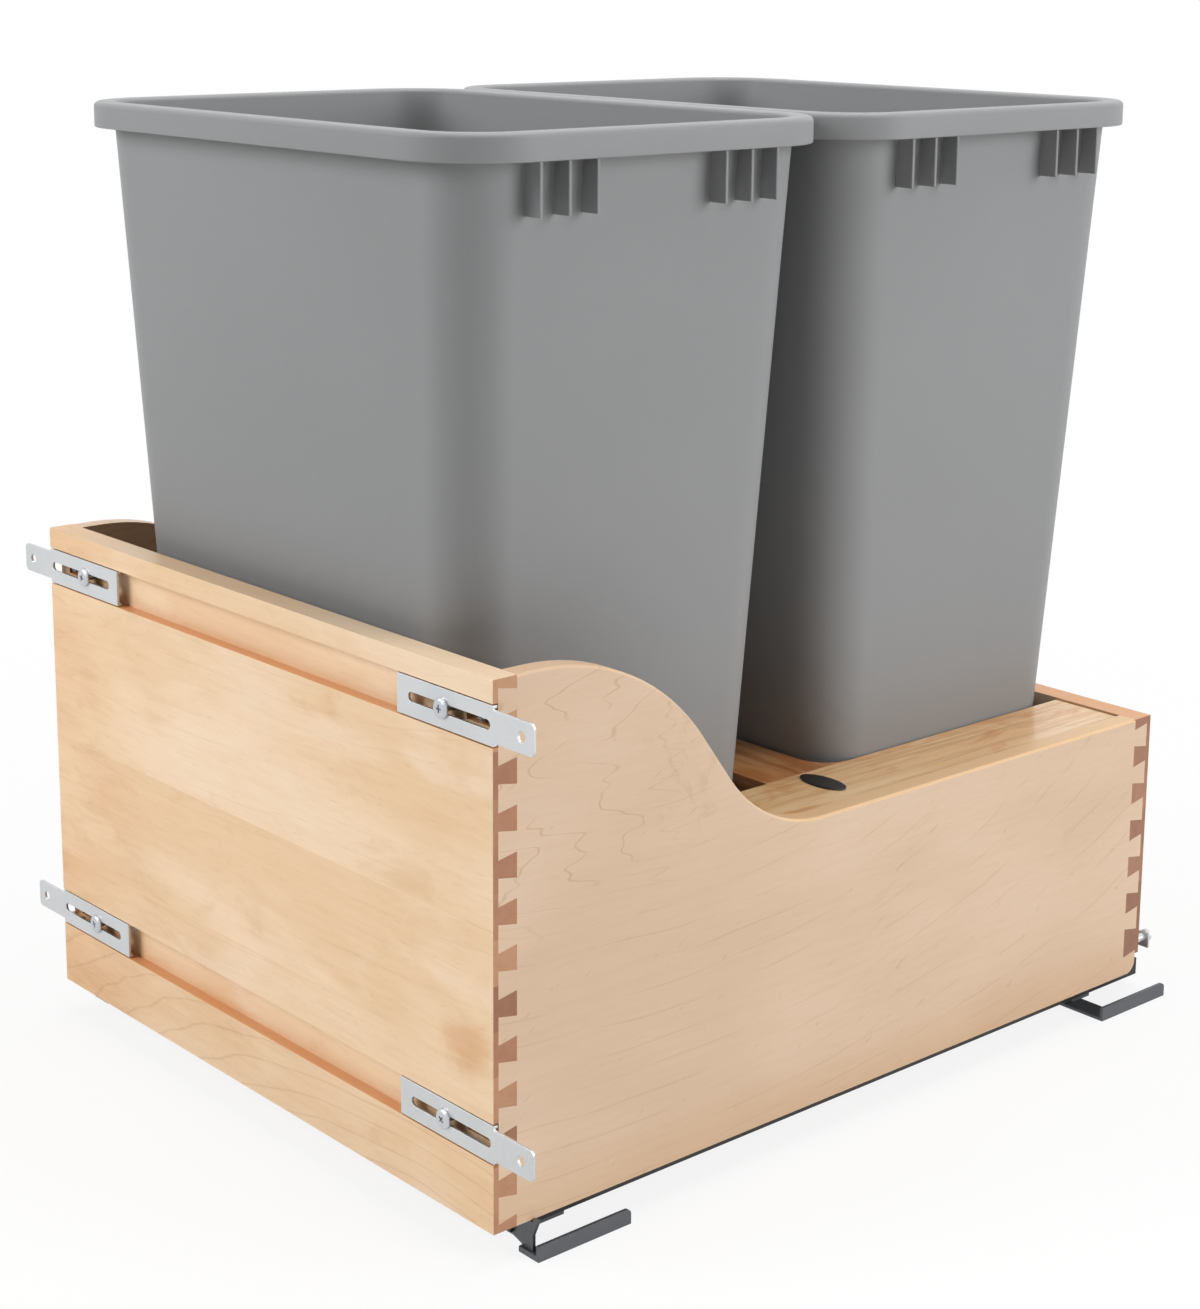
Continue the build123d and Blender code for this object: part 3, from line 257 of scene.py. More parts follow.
class Wood(Surface):
    """A sanded and lacquered maple board, its grain along one axis."""

    def __init__(self, name, along, across, seed):
        super().__init__(name)
        axes = self.parts(self.place)
        facing = self.parts(self.normal)
        through = ({"X", "Y", "Z"} - {along, across}).pop()
        self.u, self.v, self.w = axes[along], axes[across], axes[through]
        self.end = self.rise(self.math("ABSOLUTE", facing[along]), END_FACING)
        self.face = self.rise(self.math("ABSOLUTE", facing[through]), FACING)
        self.facing = facing
        self.seed = seed

    def fibres(self, along, across, detail=2.0, rough=0.5, bend=0.0, lean=0.0, seed=0.0):
        """Noise drawn out along the grain, leaning by an angle."""
        u, v = self.u, self.v
        if lean:
            u = self.plus(self.times(self.u, cos(lean)), self.times(self.v, sin(lean)))
            v = self.plus(self.times(self.v, cos(lean)), self.times(self.u, -sin(lean)))
        vector = self.vector(self.plus(self.times(u, along), self.seed + seed), self.times(v, across),
                             self.times(self.w, across))
        return self.noise(vector, 1.0, detail, rough, bend)

    def streaks(self, along, across, band, **look):
        """A mask that rises from zero to one where such a noise passes through a band."""
        return self.rise(self.fibres(along, across, **look), band)

    def rings(self, centre, squash, pitch, width, sway, zigzag, teeth, seed=0.0):
        """Thin growth-ring lines: level curves of an oval about a centre, bent by noise."""
        reach = self.length(self.times(self.plus(self.u, -centre[0]), squash),
                            self.plus(self.v, -centre[1]))
        slow = self.fibres(SWAY_ALONG, SWAY_ACROSS, seed=seed)
        quick = self.fibres(ZIGZAG_ALONG, teeth, seed=seed + ZIGZAG_SEED)
        for grain, size in ((slow, sway), (quick, zigzag)):
            reach = self.plus(reach, self.times(self.about_zero(grain), size))
        turn = self.math("FRACT", self.math("DIVIDE", reach, pitch))
        away = self.math("ABSOLUTE", self.about_zero(turn))
        return self.fall(away, (0.0, width))

    def end_grain(self, tones):
        """Each dovetail pin in a brown of its own, with fine pores."""
        row = self.math("DIVIDE", self.plus(self.v, -BOX_FOOT), PIN_PITCH)
        pick = self.add("ShaderNodeTexWhiteNoise", noise_dimensions="1D")
        self.join(self.plus(self.math("FLOOR", self.plus(row, 0.5)), self.seed), pick.inputs["W"])
        chance = pick.outputs["Value"]
        colour = self.mix(self.rise(chance, (0.15, 0.5)), tones[0], tones[1])
        colour = self.mix(self.rise(chance, (0.5, 0.95)), colour, tones[2])
        cloud = self.rise(self.noise(self.place, END_CLOUDS, rough=0.6), (0.4, 0.7))
        colour = self.stained_or_shaded(colour, END_BROWN, 0.5, cloud)
        pores = self.rise(self.noise(self.place, END_PORES, rough=0.7), (0.45, 0.7))
        return self.stained_or_shaded(colour, END_PORE_BROWN, 0.6, pores)

    def finish(self, colour, tones, rough=0.42, coat=0.15, coat_rough=0.25):
        """End grain where the board is cut across, fine fibres, and the lacquer over all."""
        fine = self.fibres(**FINE_FIBRES)
        colour = self.stained_or_shaded(colour, SOFT_BROWN, 0.22, self.rise(fine, (0.35, 0.75)))
        self.set(Base_Color=self.mix(self.end, colour, self.end_grain(tones)),
                 Roughness=self.roughness(fine, (0.3, 0.8), rough, FIBRE_SPREAD),
                 Coat_Weight=coat, Coat_Roughness=coat_rough)
        self.bump(fine, FIBRE_BUMP, FIBRE_DEPTH)
        return self.material


# Sides: places are bands along Y or up Z
# The edge gold is painted light, on upward faces near the low top edge
SIDE_PALE, SIDE_WARM, EDGE_PAINTED_LIGHT = linear(218, 191, 164), linear(211, 182, 153), linear(236, 194, 146)
# Both are painted shade: darker towards a side's foot, and darker and warmer on its inner faces
FOOT_PAINTED_SHADE, INNER_PAINTED_SHADE = (0.95, 0.87, 0.76), (0.90, 0.77, 0.62)
SIDE_FOOT = (20 * MM, 62 * MM)
LOW_EDGE = (SIDE_TOP + 2 * MM, SIDE_TOP + 12 * MM)
ARCH_FRONT, ARCH_FOOT = (-215 * MM, -120 * MM), (165 * MM, 215 * MM)
HUMP_FRONT, HUMP_BACK, HUMP_FOOT = (-200 * MM, -170 * MM), (-120 * MM, -70 * MM), (200 * MM, 230 * MM)
SIDE_BEHIND = (-130 * MM, 20 * MM)
BENT_RINGS = dict(centre=(-165 * MM, 272 * MM), squash=0.42, pitch=15 * MM, width=0.060,
                  sway=18 * MM, zigzag=6 * MM, teeth=44.0)
TOOTHED_RINGS = dict(centre=(-80 * MM, 250 * MM), squash=0.44, pitch=17 * MM, width=0.050,
                     sway=6 * MM, zigzag=62 * MM, teeth=46.0)


def side_wood(name, seed, inner):
    """A side panel, its inner face on the side of the X axis given by a sign."""
    n = Wood(name, "Y", "Z", seed)
    cloud = n.streaks(5.0, 8.0, (0.35, 0.65))
    colour = n.mix(cloud, SIDE_PALE, SIDE_WARM)
    # Painted shade: darker towards the foot of the side
    colour = n.stained_or_shaded(colour, FOOT_PAINTED_SHADE, 0.8, n.fall(n.v, SIDE_FOOT))
    silk = n.streaks(12.0, 240.0, (0.4, 0.7), detail=3.0, rough=0.55)
    colour = n.stained_or_shaded(colour, SOFT_BROWN, 0.16, silk)
    # Painted shade: the inner faces darker and warmer, for the shade inside the frame
    within = n.rise(n.times(n.facing["X"], inner), FACING)
    colour = n.stained_or_shaded(colour, INNER_PAINTED_SHADE, 0.9, within)
    # Painted light: upward faces near the low top edge lighter and golder, for light from above
    low_edge = n.times(n.rise(n.facing["Z"], UP_FACING), n.between(n.v, *LOW_EDGE, 0.9, 0.3))
    colour = n.mix(low_edge, colour, EDGE_PAINTED_LIGHT)
    arch = n.times(n.fall(n.u, ARCH_FRONT), n.rise(n.v, ARCH_FOOT))
    beyond = n.math("SUBTRACT", 1.0, arch)
    broken = n.streaks(30.0, 34.0, (0.34, 0.52), seed=13.0)
    faded = n.streaks(14.0, 26.0, (0.42, 0.60), seed=9.0)
    colour = n.stained_or_shaded(colour, BROWN_LINE, 0.60, n.rings(**TOOTHED_RINGS), arch, broken, n.face)
    colour = n.stained_or_shaded(colour, BROWN_LINE, 0.32, n.rings(**BENT_RINGS), beyond, faded, n.face)
    hump = n.times(n.rise(n.u, HUMP_FRONT), n.fall(n.u, HUMP_BACK), n.rise(n.v, HUMP_FOOT))
    smudge = n.streaks(34.0, 46.0, (0.54, 0.68), detail=4.0, rough=0.6, bend=0.6, lean=-0.9, seed=17.0)
    colour = n.stained_or_shaded(colour, SOFT_BROWN, 0.55, smudge, hump, n.face)
    drift = n.streaks(26.0, 150.0, (0.58, 0.72), detail=3.0, rough=0.55, bend=0.3, lean=0.42, seed=2.0)
    colour = n.stained_or_shaded(colour, PINK_BROWN, 0.24, drift, n.rise(n.u, SIDE_BEHIND), n.face)
    fleck = n.streaks(70.0, 300.0, (0.69, 0.75), bend=0.4, lean=0.5, seed=6.0)
    colour = n.stained_or_shaded(colour, PORE_BROWN, 0.5, fleck, n.face)
    return n.finish(colour, PLAIN_ENDS)


# Front and back: places are bands along X or up Z
FRONT_PALE, FRONT_WARM, FRONT_LIGHT = linear(245, 218, 185), linear(236, 201, 160), linear(244, 219, 190)
LOWER_STAIN, LEFT_STAIN, KNOT_STAIN = (0.94, 0.87, 0.78), (0.93, 0.82, 0.69), (0.84, 0.69, 0.54)
# The corner colour is painted shade, for the shadow under the upper lip of each groove
LEDGE_BROWN, CORNER_PAINTED_SHADE = linear(226, 160, 104), linear(150, 100, 64)
LOWER_BOARD, LOWER_SEED = (110.5 * MM, 111.5 * MM), 3.0
UPPER_BOARD, UPPER_SEED = (189.5 * MM, 190.5 * MM), 7.0
LEFT_EDGE = (-224 * MM, -60 * MM)
KNOT_X, KNOT_Z, KNOT_SQUASH, KNOT_SWAY = 204 * MM, 118 * MM, 1.5, 50 * MM
KNOT_RIM = (6 * MM, 34 * MM)
FOOT_STRIP = (60 * MM, 61.5 * MM)
FOOT_RINGS = dict(centre=(150 * MM, -12 * MM), squash=0.30, pitch=11 * MM, width=0.075,
                  sway=16 * MM, zigzag=7 * MM, teeth=60.0)
FAINT_RINGS = dict(centre=(-50 * MM, 400 * MM), squash=0.22, pitch=15 * MM, width=0.050,
                   sway=20 * MM, zigzag=10 * MM, teeth=60.0, seed=3.0)
PANEL_FOOT, PANEL_TOP = (30 * MM, 31 * MM), (319 * MM, 320 * MM)
GROOVE_DEEP = (FRONT_FACE + 6.6 * MM, FRONT_FACE + 7.0 * MM)
GROOVE_BED = (FRONT_FACE + 9.0 * MM, FRONT_FACE + 9.2 * MM)
# Band of the painted shade, measured from the upper lip of a groove
CORNER_LOW, CORNER_MID, CORNER_OVER = 1.6 * MM, 0.6 * MM, 0.2 * MM


def groove_edges(n, colour):
    """Browned ledges of the bracket grooves, and painted shade on the groove floor along their upper
    corners.
    """
    ledge = n.times(n.rise(n.math("ABSOLUTE", n.facing["Z"]), FACING), n.fall(n.v, PANEL_TOP),
                    n.rise(n.v, PANEL_FOOT))
    colour = n.mix(n.times(ledge, 0.85), colour, LEDGE_BROWN)
    deep = n.times(n.rise(n.w, GROOVE_DEEP), n.face, n.fall(n.w, GROOVE_BED))
    for bracket in ("left_lower_door_bracket", "left_upper_door_bracket"):
        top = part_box(bracket)[1].z + GROOVE_SPARE
        # Painted shade: a thin dark band of the groove floor just under the upper lip
        corner = n.times(deep, n.rise(n.v, (top - CORNER_LOW, top - CORNER_MID)),
                         n.fall(n.v, (top, top + CORNER_OVER)))
        colour = n.mix(n.times(corner, 0.85), colour, CORNER_PAINTED_SHADE)
    return colour


def front_wood(name, seed, tones):
    """A panel of three glued boards, with grooves for the brackets."""
    n = Wood(name, "X", "Z", seed)
    lower = n.fall(n.v, LOWER_BOARD)
    board = n.plus(n.times(lower, LOWER_SEED), n.times(n.rise(n.v, UPPER_BOARD), UPPER_SEED))

    def clouds(along, across, band, **look):
        """A mask that differs from board to board."""
        vector = n.vector(n.plus(n.times(n.u, along), n.seed, board), n.times(n.v, across),
                          n.times(n.w, across))
        return n.rise(n.noise(vector, **look), band)

    cloud = clouds(5.0, 13.0, (0.36, 0.64), detail=3.0, bend=0.3)
    colour = n.mix(cloud, FRONT_PALE, FRONT_WARM)
    colour = n.stained_or_shaded(colour, LOWER_STAIN, 0.5, lower)
    patch = clouds(14.0, 30.0, (0.57, 0.72), detail=4.0, rough=0.6, bend=0.6)
    colour = n.stained_or_shaded(colour, SOFT_BROWN, 0.55, patch)
    pale = n.streaks(9.0, 24.0, (0.55, 0.70), detail=3.0, rough=0.55, bend=0.4, seed=12.0)
    colour = n.mix(n.times(pale, 0.6), colour, FRONT_LIGHT)
    edge = n.fall(n.u, LEFT_EDGE)
    colour = n.stained_or_shaded(colour, LEFT_STAIN, 0.8, edge)
    away = n.length(n.plus(n.u, -KNOT_X), n.times(n.plus(n.v, -KNOT_Z), KNOT_SQUASH))
    swirl = n.about_zero(n.fibres(24.0, 40.0, detail=3.0, rough=0.6, bend=0.5, seed=21.0))
    away = n.plus(away, n.times(swirl, KNOT_SWAY))
    colour = n.stained_or_shaded(colour, KNOT_STAIN, n.face, n.fall(away, KNOT_RIM))
    flame = n.streaks(22.0, 110.0, (0.46, 0.68), detail=4.0, rough=0.6, bend=0.5, seed=5.0)
    colour = n.stained_or_shaded(colour, SOFT_BROWN, n.plus(n.times(edge, 0.35), 0.22), flame)
    silk = n.streaks(16.0, 300.0, (0.42, 0.7), detail=3.0, rough=0.55)
    colour = n.stained_or_shaded(colour, SOFT_BROWN, 0.20, silk)
    fleck = n.streaks(90.0, 420.0, (0.62, 0.72), bend=0.4, seed=14.0)
    colour = n.stained_or_shaded(colour, SOFT_BROWN, 0.35, fleck, n.face)
    strip = n.fall(n.v, FOOT_STRIP)
    colour = n.stained_or_shaded(colour, BROWN_LINE, 0.40, n.rings(**FOOT_RINGS), strip, n.face)
    faded = n.streaks(12.0, 30.0, (0.45, 0.62), seed=9.0)
    colour = n.stained_or_shaded(colour, BROWN_LINE, 0.20, n.rings(**FAINT_RINGS), faded, n.face)
    return n.finish(groove_edges(n, colour), tones)


# Deck
DECK_SHINE, DECK_PATCH = linear(244, 216, 176), (0.86, 0.68, 0.50)


def deck_wood(name, along, across, seed, pale, warm, dark):
    """A deck board under a glossier lacquer, in three tones."""
    n = Wood(name, along, across, seed)
    cloud = n.streaks(6.0, 20.0, (0.38, 0.62), detail=3.0, bend=0.3)
    colour = n.mix(cloud, pale, warm)
    streak = n.streaks(9.0, 190.0, (0.44, 0.66), detail=4.0, rough=0.6, bend=0.2)
    colour = n.mix(n.times(streak, 0.75), colour, dark)
    shine = n.streaks(7.0, 260.0, (0.60, 0.72), seed=4.0)
    colour = n.mix(n.times(shine, 0.55), colour, DECK_SHINE)
    patch = n.streaks(16.0, 40.0, (0.50, 0.64), detail=3.0, rough=0.6, bend=0.5, seed=8.0)
    colour = n.stained_or_shaded(colour, DECK_PATCH, 0.85, patch)
    return n.finish(colour, PLAIN_ENDS, rough=0.34, coat=0.4, coat_rough=0.12)


# Plastic and metal
MOULD_CLOUDS, MOULD_GRAIN, SPANGLES, PLATING_GRAIN = 5.0, 1400.0, 25.0, 600.0
CLOUD_STAIN, SPECK_STAIN = (0.96, 0.96, 0.96), (0.93, 0.93, 0.93)
SPANGLE_STAIN, PLATING_STAIN = (0.93, 0.94, 0.95), (0.85, 0.85, 0.85)
MOULD_BUMP, MOULD_DEPTH, MOULD_SPREAD, MOULD_COAT_ROUGH = 0.25, 0.05 * MM, (0.04, 0.05), 0.06
PLATING_BUMP, PLATING_DEPTH, PLATING_SPREAD = 0.15, 0.04 * MM, (0.06, 0.08)
BADGE_DEPTH = 0.01 * MM


def plastic(name, colour, rough, depth=MOULD_DEPTH, coat=0.0, gloss=0.5):
    """Moulded plastic with a fine even grain."""
    n = Surface(name)
    fine = n.noise(n.place, MOULD_GRAIN, detail=3.0, rough=0.6)
    broad = n.noise(n.place, MOULD_CLOUDS)
    colour = n.tint(n.rise(broad, (0.3, 0.7)), colour, CLOUD_STAIN)
    colour = n.stained_or_shaded(colour, SPECK_STAIN, 0.4, n.rise(fine, (0.4, 0.7)))
    n.set(Base_Color=colour, Roughness=n.roughness(fine, (0.3, 0.7), rough, MOULD_SPREAD),
          Coat_Weight=coat, Coat_Roughness=MOULD_COAT_ROUGH, Specular_IOR_Level=gloss)
    n.bump(fine, MOULD_BUMP, depth)
    return n.material


def metal(name, colour, rough, metallic, speckle=0.3):
    """Sheet metal with a fine plated or painted grain."""
    n = Surface(name)
    fine = n.noise(n.place, PLATING_GRAIN, detail=3.0, rough=0.6)
    broad = n.noise(n.place, SPANGLES, detail=3.0, rough=0.6)
    colour = n.tint(n.rise(broad, (0.35, 0.7)), colour, SPANGLE_STAIN)
    colour = n.stained_or_shaded(colour, PLATING_STAIN, speckle, n.rise(fine, (0.45, 0.7)))
    n.set(Base_Color=colour, Metallic=metallic,
          Roughness=n.roughness(fine, (0.3, 0.7), rough, PLATING_SPREAD))
    n.bump(fine, PLATING_BUMP, PLATING_DEPTH)
    return n.material


front_maple = front_wood("front_maple", seed=3.1, tones=FRONT_PINS)
back_maple = front_wood("back_maple", seed=8.6, tones=REAR_PINS)
right_maple = side_wood("right_maple", seed=7.7, inner=-1.0)
left_maple = side_wood("left_maple", seed=2.9, inner=1.0)
deck_maple = deck_wood("deck_maple", "Y", "X", seed=1.9, pale=linear(246, 211, 164),
                       warm=linear(238, 192, 138), dark=linear(216, 162, 104))
# Bars and bottom panel: a separate board with its grain across, in darker, redder tones that also paint
# in the shade between the bins
bar_maple_painted_shade = deck_wood("bar_maple_painted_shade", "X", "Y", seed=5.3, pale=linear(218, 164, 112),
                      warm=linear(194, 134, 84), dark=linear(164, 106, 62))
bin_grey = plastic("bin_grey", linear(144, 145, 146), rough=0.5, gloss=0.22)
cage_plastic = plastic("cage_plastic", linear(226, 226, 222), rough=0.5)
clip_grey = plastic("clip_grey", linear(150, 152, 154), rough=0.5)
black_plastic = plastic("black_plastic", linear(32, 33, 34), rough=0.4)
housing_grey = plastic("housing_grey", linear(88, 90, 94), rough=0.45)
badge_black = plastic("badge_black", linear(24, 23, 23), rough=0.34, depth=BADGE_DEPTH, coat=0.25)
zinc = metal("zinc", linear(206, 208, 209), rough=0.38, metallic=0.7, speckle=0.12)
# Painted shade: the cabinet rails are near black, for the shaded band under the drawer sides
rail_painted_shade_black = metal("rail_painted_shade_black", linear(34, 33, 33), rough=0.5, metallic=0.1)
# Painted shade: the feet are zinc-plated steel, coloured dark grey for the shade under the drawer
foot_zinc_painted_shade = metal("foot_zinc_painted_shade", linear(92, 95, 99), rough=0.36, metallic=0.5)
steel = metal("steel", linear(200, 202, 206), rough=0.26, metallic=0.95)
dark_screw = metal("dark_screw", linear(70, 70, 74), rough=0.3, metallic=0.8)

MATERIALS = {
    "front_panel": front_maple, "back_panel": back_maple, "left_side_panel": left_maple,
    "right_side_panel": right_maple,
    "deck_strip": deck_maple, "deck_cleat": deck_maple, "deck_cross_bar": bar_maple_painted_shade,
    "deck_front_bar": bar_maple_painted_shade, "bottom_panel": bar_maple_painted_shade, "bin": bin_grey,
    "badge_plate": badge_black, "door_bracket": zinc, "bracket_clamp_screws": steel,
    "bracket_adjusting_screws": dark_screw, "bracket_adjuster_lugs": steel,
    "cabinet_rail": rail_painted_shade_black, "middle_rail": zinc, "drawer_rail": zinc,
    "carriage": cage_plastic, "rollers": steel, "front_foot": foot_zinc_painted_shade, "rear_foot": foot_zinc_painted_shade,
    "locking_clip": clip_grey, "release_lever": clip_grey,
    "soft_close_housing": housing_grey, "soft_close_catch": black_plastic,
    "soft_close_damper": steel, "clip_screws": steel,
}


def finish_of(name):
    return next(material for ending, material in MATERIALS.items() if name.endswith(ending))


for name, node in nodes.items():
    node.data.materials.clear()
    node.data.materials.append(finish_of(name))


# Mesh pieces

SMOOTH_ANGLE = radians(38)


def make_piece(name, bm, materials, stands_for):
    """Turns a bmesh into an object that takes a CAD node's place on its body."""
    bmesh.ops.recalc_face_normals(bm, faces=bm.faces)
    mesh = bpy.data.meshes.new(name)
    bm.to_mesh(mesh)
    bm.free()
    mesh.shade_smooth()
    mesh.set_sharp_from_angle(angle=SMOOTH_ANGLE)
    piece = bpy.data.objects.new(name, mesh)
    bpy.context.scene.collection.objects.link(piece)
    for material in materials:
        mesh.materials.append(material)
    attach(piece, BODY[stands_for])
    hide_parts(stands_for)
    return piece


def skin(bm, rings):
    """A closed solid from rings of as many points each."""
    rows = [[bm.verts.new(point) for point in ring] for ring in rings]
    count = len(rows[0])
    for low, high in zip(rows, rows[1:]):
        for i in range(count):
            j = (i + 1) % count
            bm.faces.new((low[i], low[j], high[j], high[i]))
    bm.faces.new(rows[0][::-1])
    bm.faces.new(rows[-1])


# Bins
BASE_WIDTH, BASE_DEPTH = 298.0 * MM, 208.0 * MM
OVERHANG = 13.5 * MM
RIM_RADIUS, BODY_RADIUS = 51.0 * MM, 34.0 * MM
RIM_DEEP, RIM_CROWN, RIM_WALL = 15.0 * MM, 3.0 * MM, 2.2 * MM
BIN_WALL, BIN_FLOOR, BASE_ROUND = 2.6 * MM, 3.0 * MM, 6.0 * MM
LIP_EASE, MOUTH_ROUND = 0.5 * MM, 2.4 * MM
CORNER_STEPS, ROUND_STEPS, WALL_STEPS = 14, 5, 6
RIB_DROP, RIB_THICK, RIB_PITCH, RIB_OFFSET, RIB_SETBACK = (
    29.0 * MM, 2.0 * MM, 19.4 * MM, 65.5 * MM, 2.2 * MM)
RIB_EASE = 0.35 * MM


def rounded_ring(half_x, half_y, radius, z, middle_y):
    points = []
    for quarter, (side_x, side_y) in enumerate(((1, 1), (-1, 1), (-1, -1), (1, -1))):
        for step in range(CORNER_STEPS + 1):
            angle = pi / 2 * (quarter + step / CORNER_STEPS)
            points.append((side_x * (half_x - radius) + radius * cos(angle),
                           middle_y + side_y * (half_y - radius) + radius * sin(angle), z))
    return points


def make_bin(name):
    low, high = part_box(name)
    foot, height = low.z, high.z - low.z
    rim_x, rim_y = high.x, (high.y - low.y) / 2
    middle = (low.y + high.y) / 2
    body_height = height - RIM_DEEP

    def taper(z):
        share = z / body_height
        return (BASE_WIDTH / 2 + share * (rim_x - OVERHANG - BASE_WIDTH / 2),
                BASE_DEPTH / 2 + share * (rim_y - OVERHANG - BASE_DEPTH / 2))

    def body_ring(z, inset):
        half_x, half_y = taper(z)
        return rounded_ring(half_x - inset, half_y - inset, BODY_RADIUS - inset, foot + z, middle)

    def rim_ring(z, inset):
        return rounded_ring(rim_x - inset, rim_y - inset, RIM_RADIUS - inset, foot + z, middle)

    quarter = [pi / 2 * step / ROUND_STEPS for step in range(ROUND_STEPS + 1)]
    rings = [body_ring(BASE_ROUND * (1 - cos(a)), BASE_ROUND * (1 - sin(a))) for a in quarter]
    under = height - RIM_WALL
    rings += [body_ring(BASE_ROUND + (under - BASE_ROUND) * step / WALL_STEPS, 0)
              for step in range(1, WALL_STEPS + 1)]
    rings += [rim_ring(under, RIM_WALL), rim_ring(body_height + LIP_EASE, RIM_WALL),
              rim_ring(body_height, RIM_WALL - LIP_EASE), rim_ring(body_height, LIP_EASE),
              rim_ring(body_height + LIP_EASE, 0)]
    rings += [rim_ring(height - RIM_CROWN * (1 - sin(a)), RIM_CROWN * (1 - cos(a))) for a in quarter]
    rings += [body_ring(height - MOUTH_ROUND * (1 - cos(a)), BIN_WALL - MOUTH_ROUND * (1 - sin(a)))
              for a in quarter]
    rings += [body_ring(height - MOUTH_ROUND + (BIN_FLOOR + BASE_ROUND - height + MOUTH_ROUND)
                        * step / WALL_STEPS, BIN_WALL) for step in range(1, WALL_STEPS + 1)]
    rings += [body_ring(BIN_FLOOR + BASE_ROUND * (1 - sin(a)), BIN_WALL + BASE_ROUND * (1 - cos(a)))
              for a in quarter[1:]]
    bm = bmesh.new()
    skin(bm, rings)
    for side in (-1, 1):
        for group in (-1, 1):
            for place in (-1, 0, 1):
                add_rib(bm, side, middle + group * RIB_OFFSET + place * RIB_PITCH, rim_x,
                        [(taper(z)[0] - BIN_WALL / 2, foot + z)
                         for z in (body_height - RIB_DROP, height - RIM_WALL / 2)])
    make_piece(name + "_moulding", bm, [bin_grey], name)


def add_rib(bm, side, y, rim_x, wall):
    """A thin gusset between the wall and the rim, with eased edges."""
    half, outer_x = RIB_THICK / 2, rim_x - RIB_SETBACK
    (low_x, low_z), (high_x, high_z) = wall
    rings = []
    flat = half - RIB_EASE
    for offset, inset in ((-half, RIB_EASE), (-flat, 0), (flat, 0), (half, RIB_EASE)):
        ring = [(low_x, low_z + inset), (outer_x - inset, low_z + inset), (outer_x - inset, high_z),
                (high_x, high_z)]
        rings.append([(side * x, y + offset, z) for x, z in ring])
    skin(bm, rings)


for bin_name in ("front_bin", "rear_bin"):
    make_bin(bin_name)


# Screws of the door brackets: profiles are radius and height in millimetres
TURN_STEPS = 40
PAN_RADIUS, PAN_HEIGHT = 5.7 * MM, 2.2 * MM
PAN_PROFILE = [(5.7, 0.0), (5.7, 0.8), (5.55, 1.25), (5.2, 1.62), (4.6, 1.9), (3.9, 2.08), (3.0, 2.18)]
SHANK_PROFILE = [(1.9, -13.5), (2.4, -12.0), (2.4, 0.0)]
SPIN_START, SPIN_UPPER, SPIN_RIGHT = 0.5, 0.7, 0.4
CROSS_HALF, CROSS_REACH, CROSS_DEPTH, CROSS_DRAW = 0.55 * MM, 2.2 * MM, 1.4 * MM, 0.8
THREAD_RADIUS, THREAD_DEPTH, THREAD_PITCH = 2.2 * MM, 0.42 * MM, 1.0 * MM
THREAD_STEPS, THREAD_ROWS = 24, 6
ADJUSTER_END_RADIUS, ADJUSTER_LENGTH = 3.0 * MM, 17.0 * MM
BOSS_PROFILE = [(2.55, -3.2), (2.55, -0.25), (2.3, 0.0)]
BOSS_SETBACK, BOSS_STAND, BOSS_CROSS_SHARE = 5.6 * MM, 2.6 * MM, 0.8
BOSS_ACROSS, BOSS_UP = Vector((0.8, 0, 0.6)), Vector((-0.6, 0, 0.8))
FORWARD = Vector((0, -1, 0))


def cross_top(bm, rim, centre, across, up, out, size=1.0):
    """The flat of a screw head with a cross recess drawn in from it."""
    arm, reach = CROSS_HALF * size, CROSS_REACH * size
    plan = [(reach, -arm), (reach, arm), (arm, arm), (arm, reach), (-arm, reach), (-arm, arm),
            (-reach, arm), (-reach, -arm), (-arm, -arm), (-arm, -reach), (arm, -reach), (arm, -arm)]
    edge = [bm.verts.new(centre + a * across + b * up) for a, b in plan]
    floor_ring = [bm.verts.new(centre + CROSS_DRAW * (a * across + b * up) - CROSS_DEPTH * size * out)
                  for a, b in plan]
    for i in range(len(plan)):
        j = (i + 1) % len(plan)
        bm.faces.new((edge[i], edge[j], floor_ring[j], floor_ring[i]))
    bm.faces.new(floor_ring)
    loops = [bm.edges.get((ring[i], ring[(i + 1) % len(ring)])) for ring in (rim, edge)
             for i in range(len(ring))]
    bmesh.ops.triangle_fill(bm, use_beauty=True, use_dissolve=False, edges=loops, normal=out)


def turned(bm, profile, centre, across, up, out, cross_size=1.0):
    """A turned screw: rings of a profile about an axis, with a cross recess in its top."""
    rows = []
    for radius, height in profile:
        rows.append([bm.verts.new(centre + height * MM * out + radius * MM
                                  * (cos(a) * across + sin(a) * up))
                     for a in (2 * pi * i / TURN_STEPS for i in range(TURN_STEPS))])
    for low, high in zip(rows, rows[1:]):
        for i in range(TURN_STEPS):
            j = (i + 1) % TURN_STEPS
            bm.faces.new((low[i], low[j], high[j], high[i]))
    bm.faces.new(rows[0][::-1])
    cross_top(bm, rows[-1], centre + profile[-1][1] * MM * out, across, up, out, cross_size)


def make_clamp_screws():
    name = "bracket_clamp_screws"
    low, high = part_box(name)
    bm = bmesh.new()
    seat_y = low.y + PAN_HEIGHT
    for x in (low.x + PAN_RADIUS, high.x - PAN_RADIUS):
        for index, z in enumerate((low.z + PAN_RADIUS, high.z - PAN_RADIUS)):
            spin = SPIN_START + SPIN_UPPER * index + SPIN_RIGHT * (x > 0)
            across = Vector((cos(spin), 0, sin(spin)))
            up = Vector((-sin(spin), 0, cos(spin)))
            seat = Vector((x, seat_y, z))
            turned(bm, SHANK_PROFILE + PAN_PROFILE, seat, across, up, FORWARD)
    make_piece(name + "_turned", bm, [steel], name)


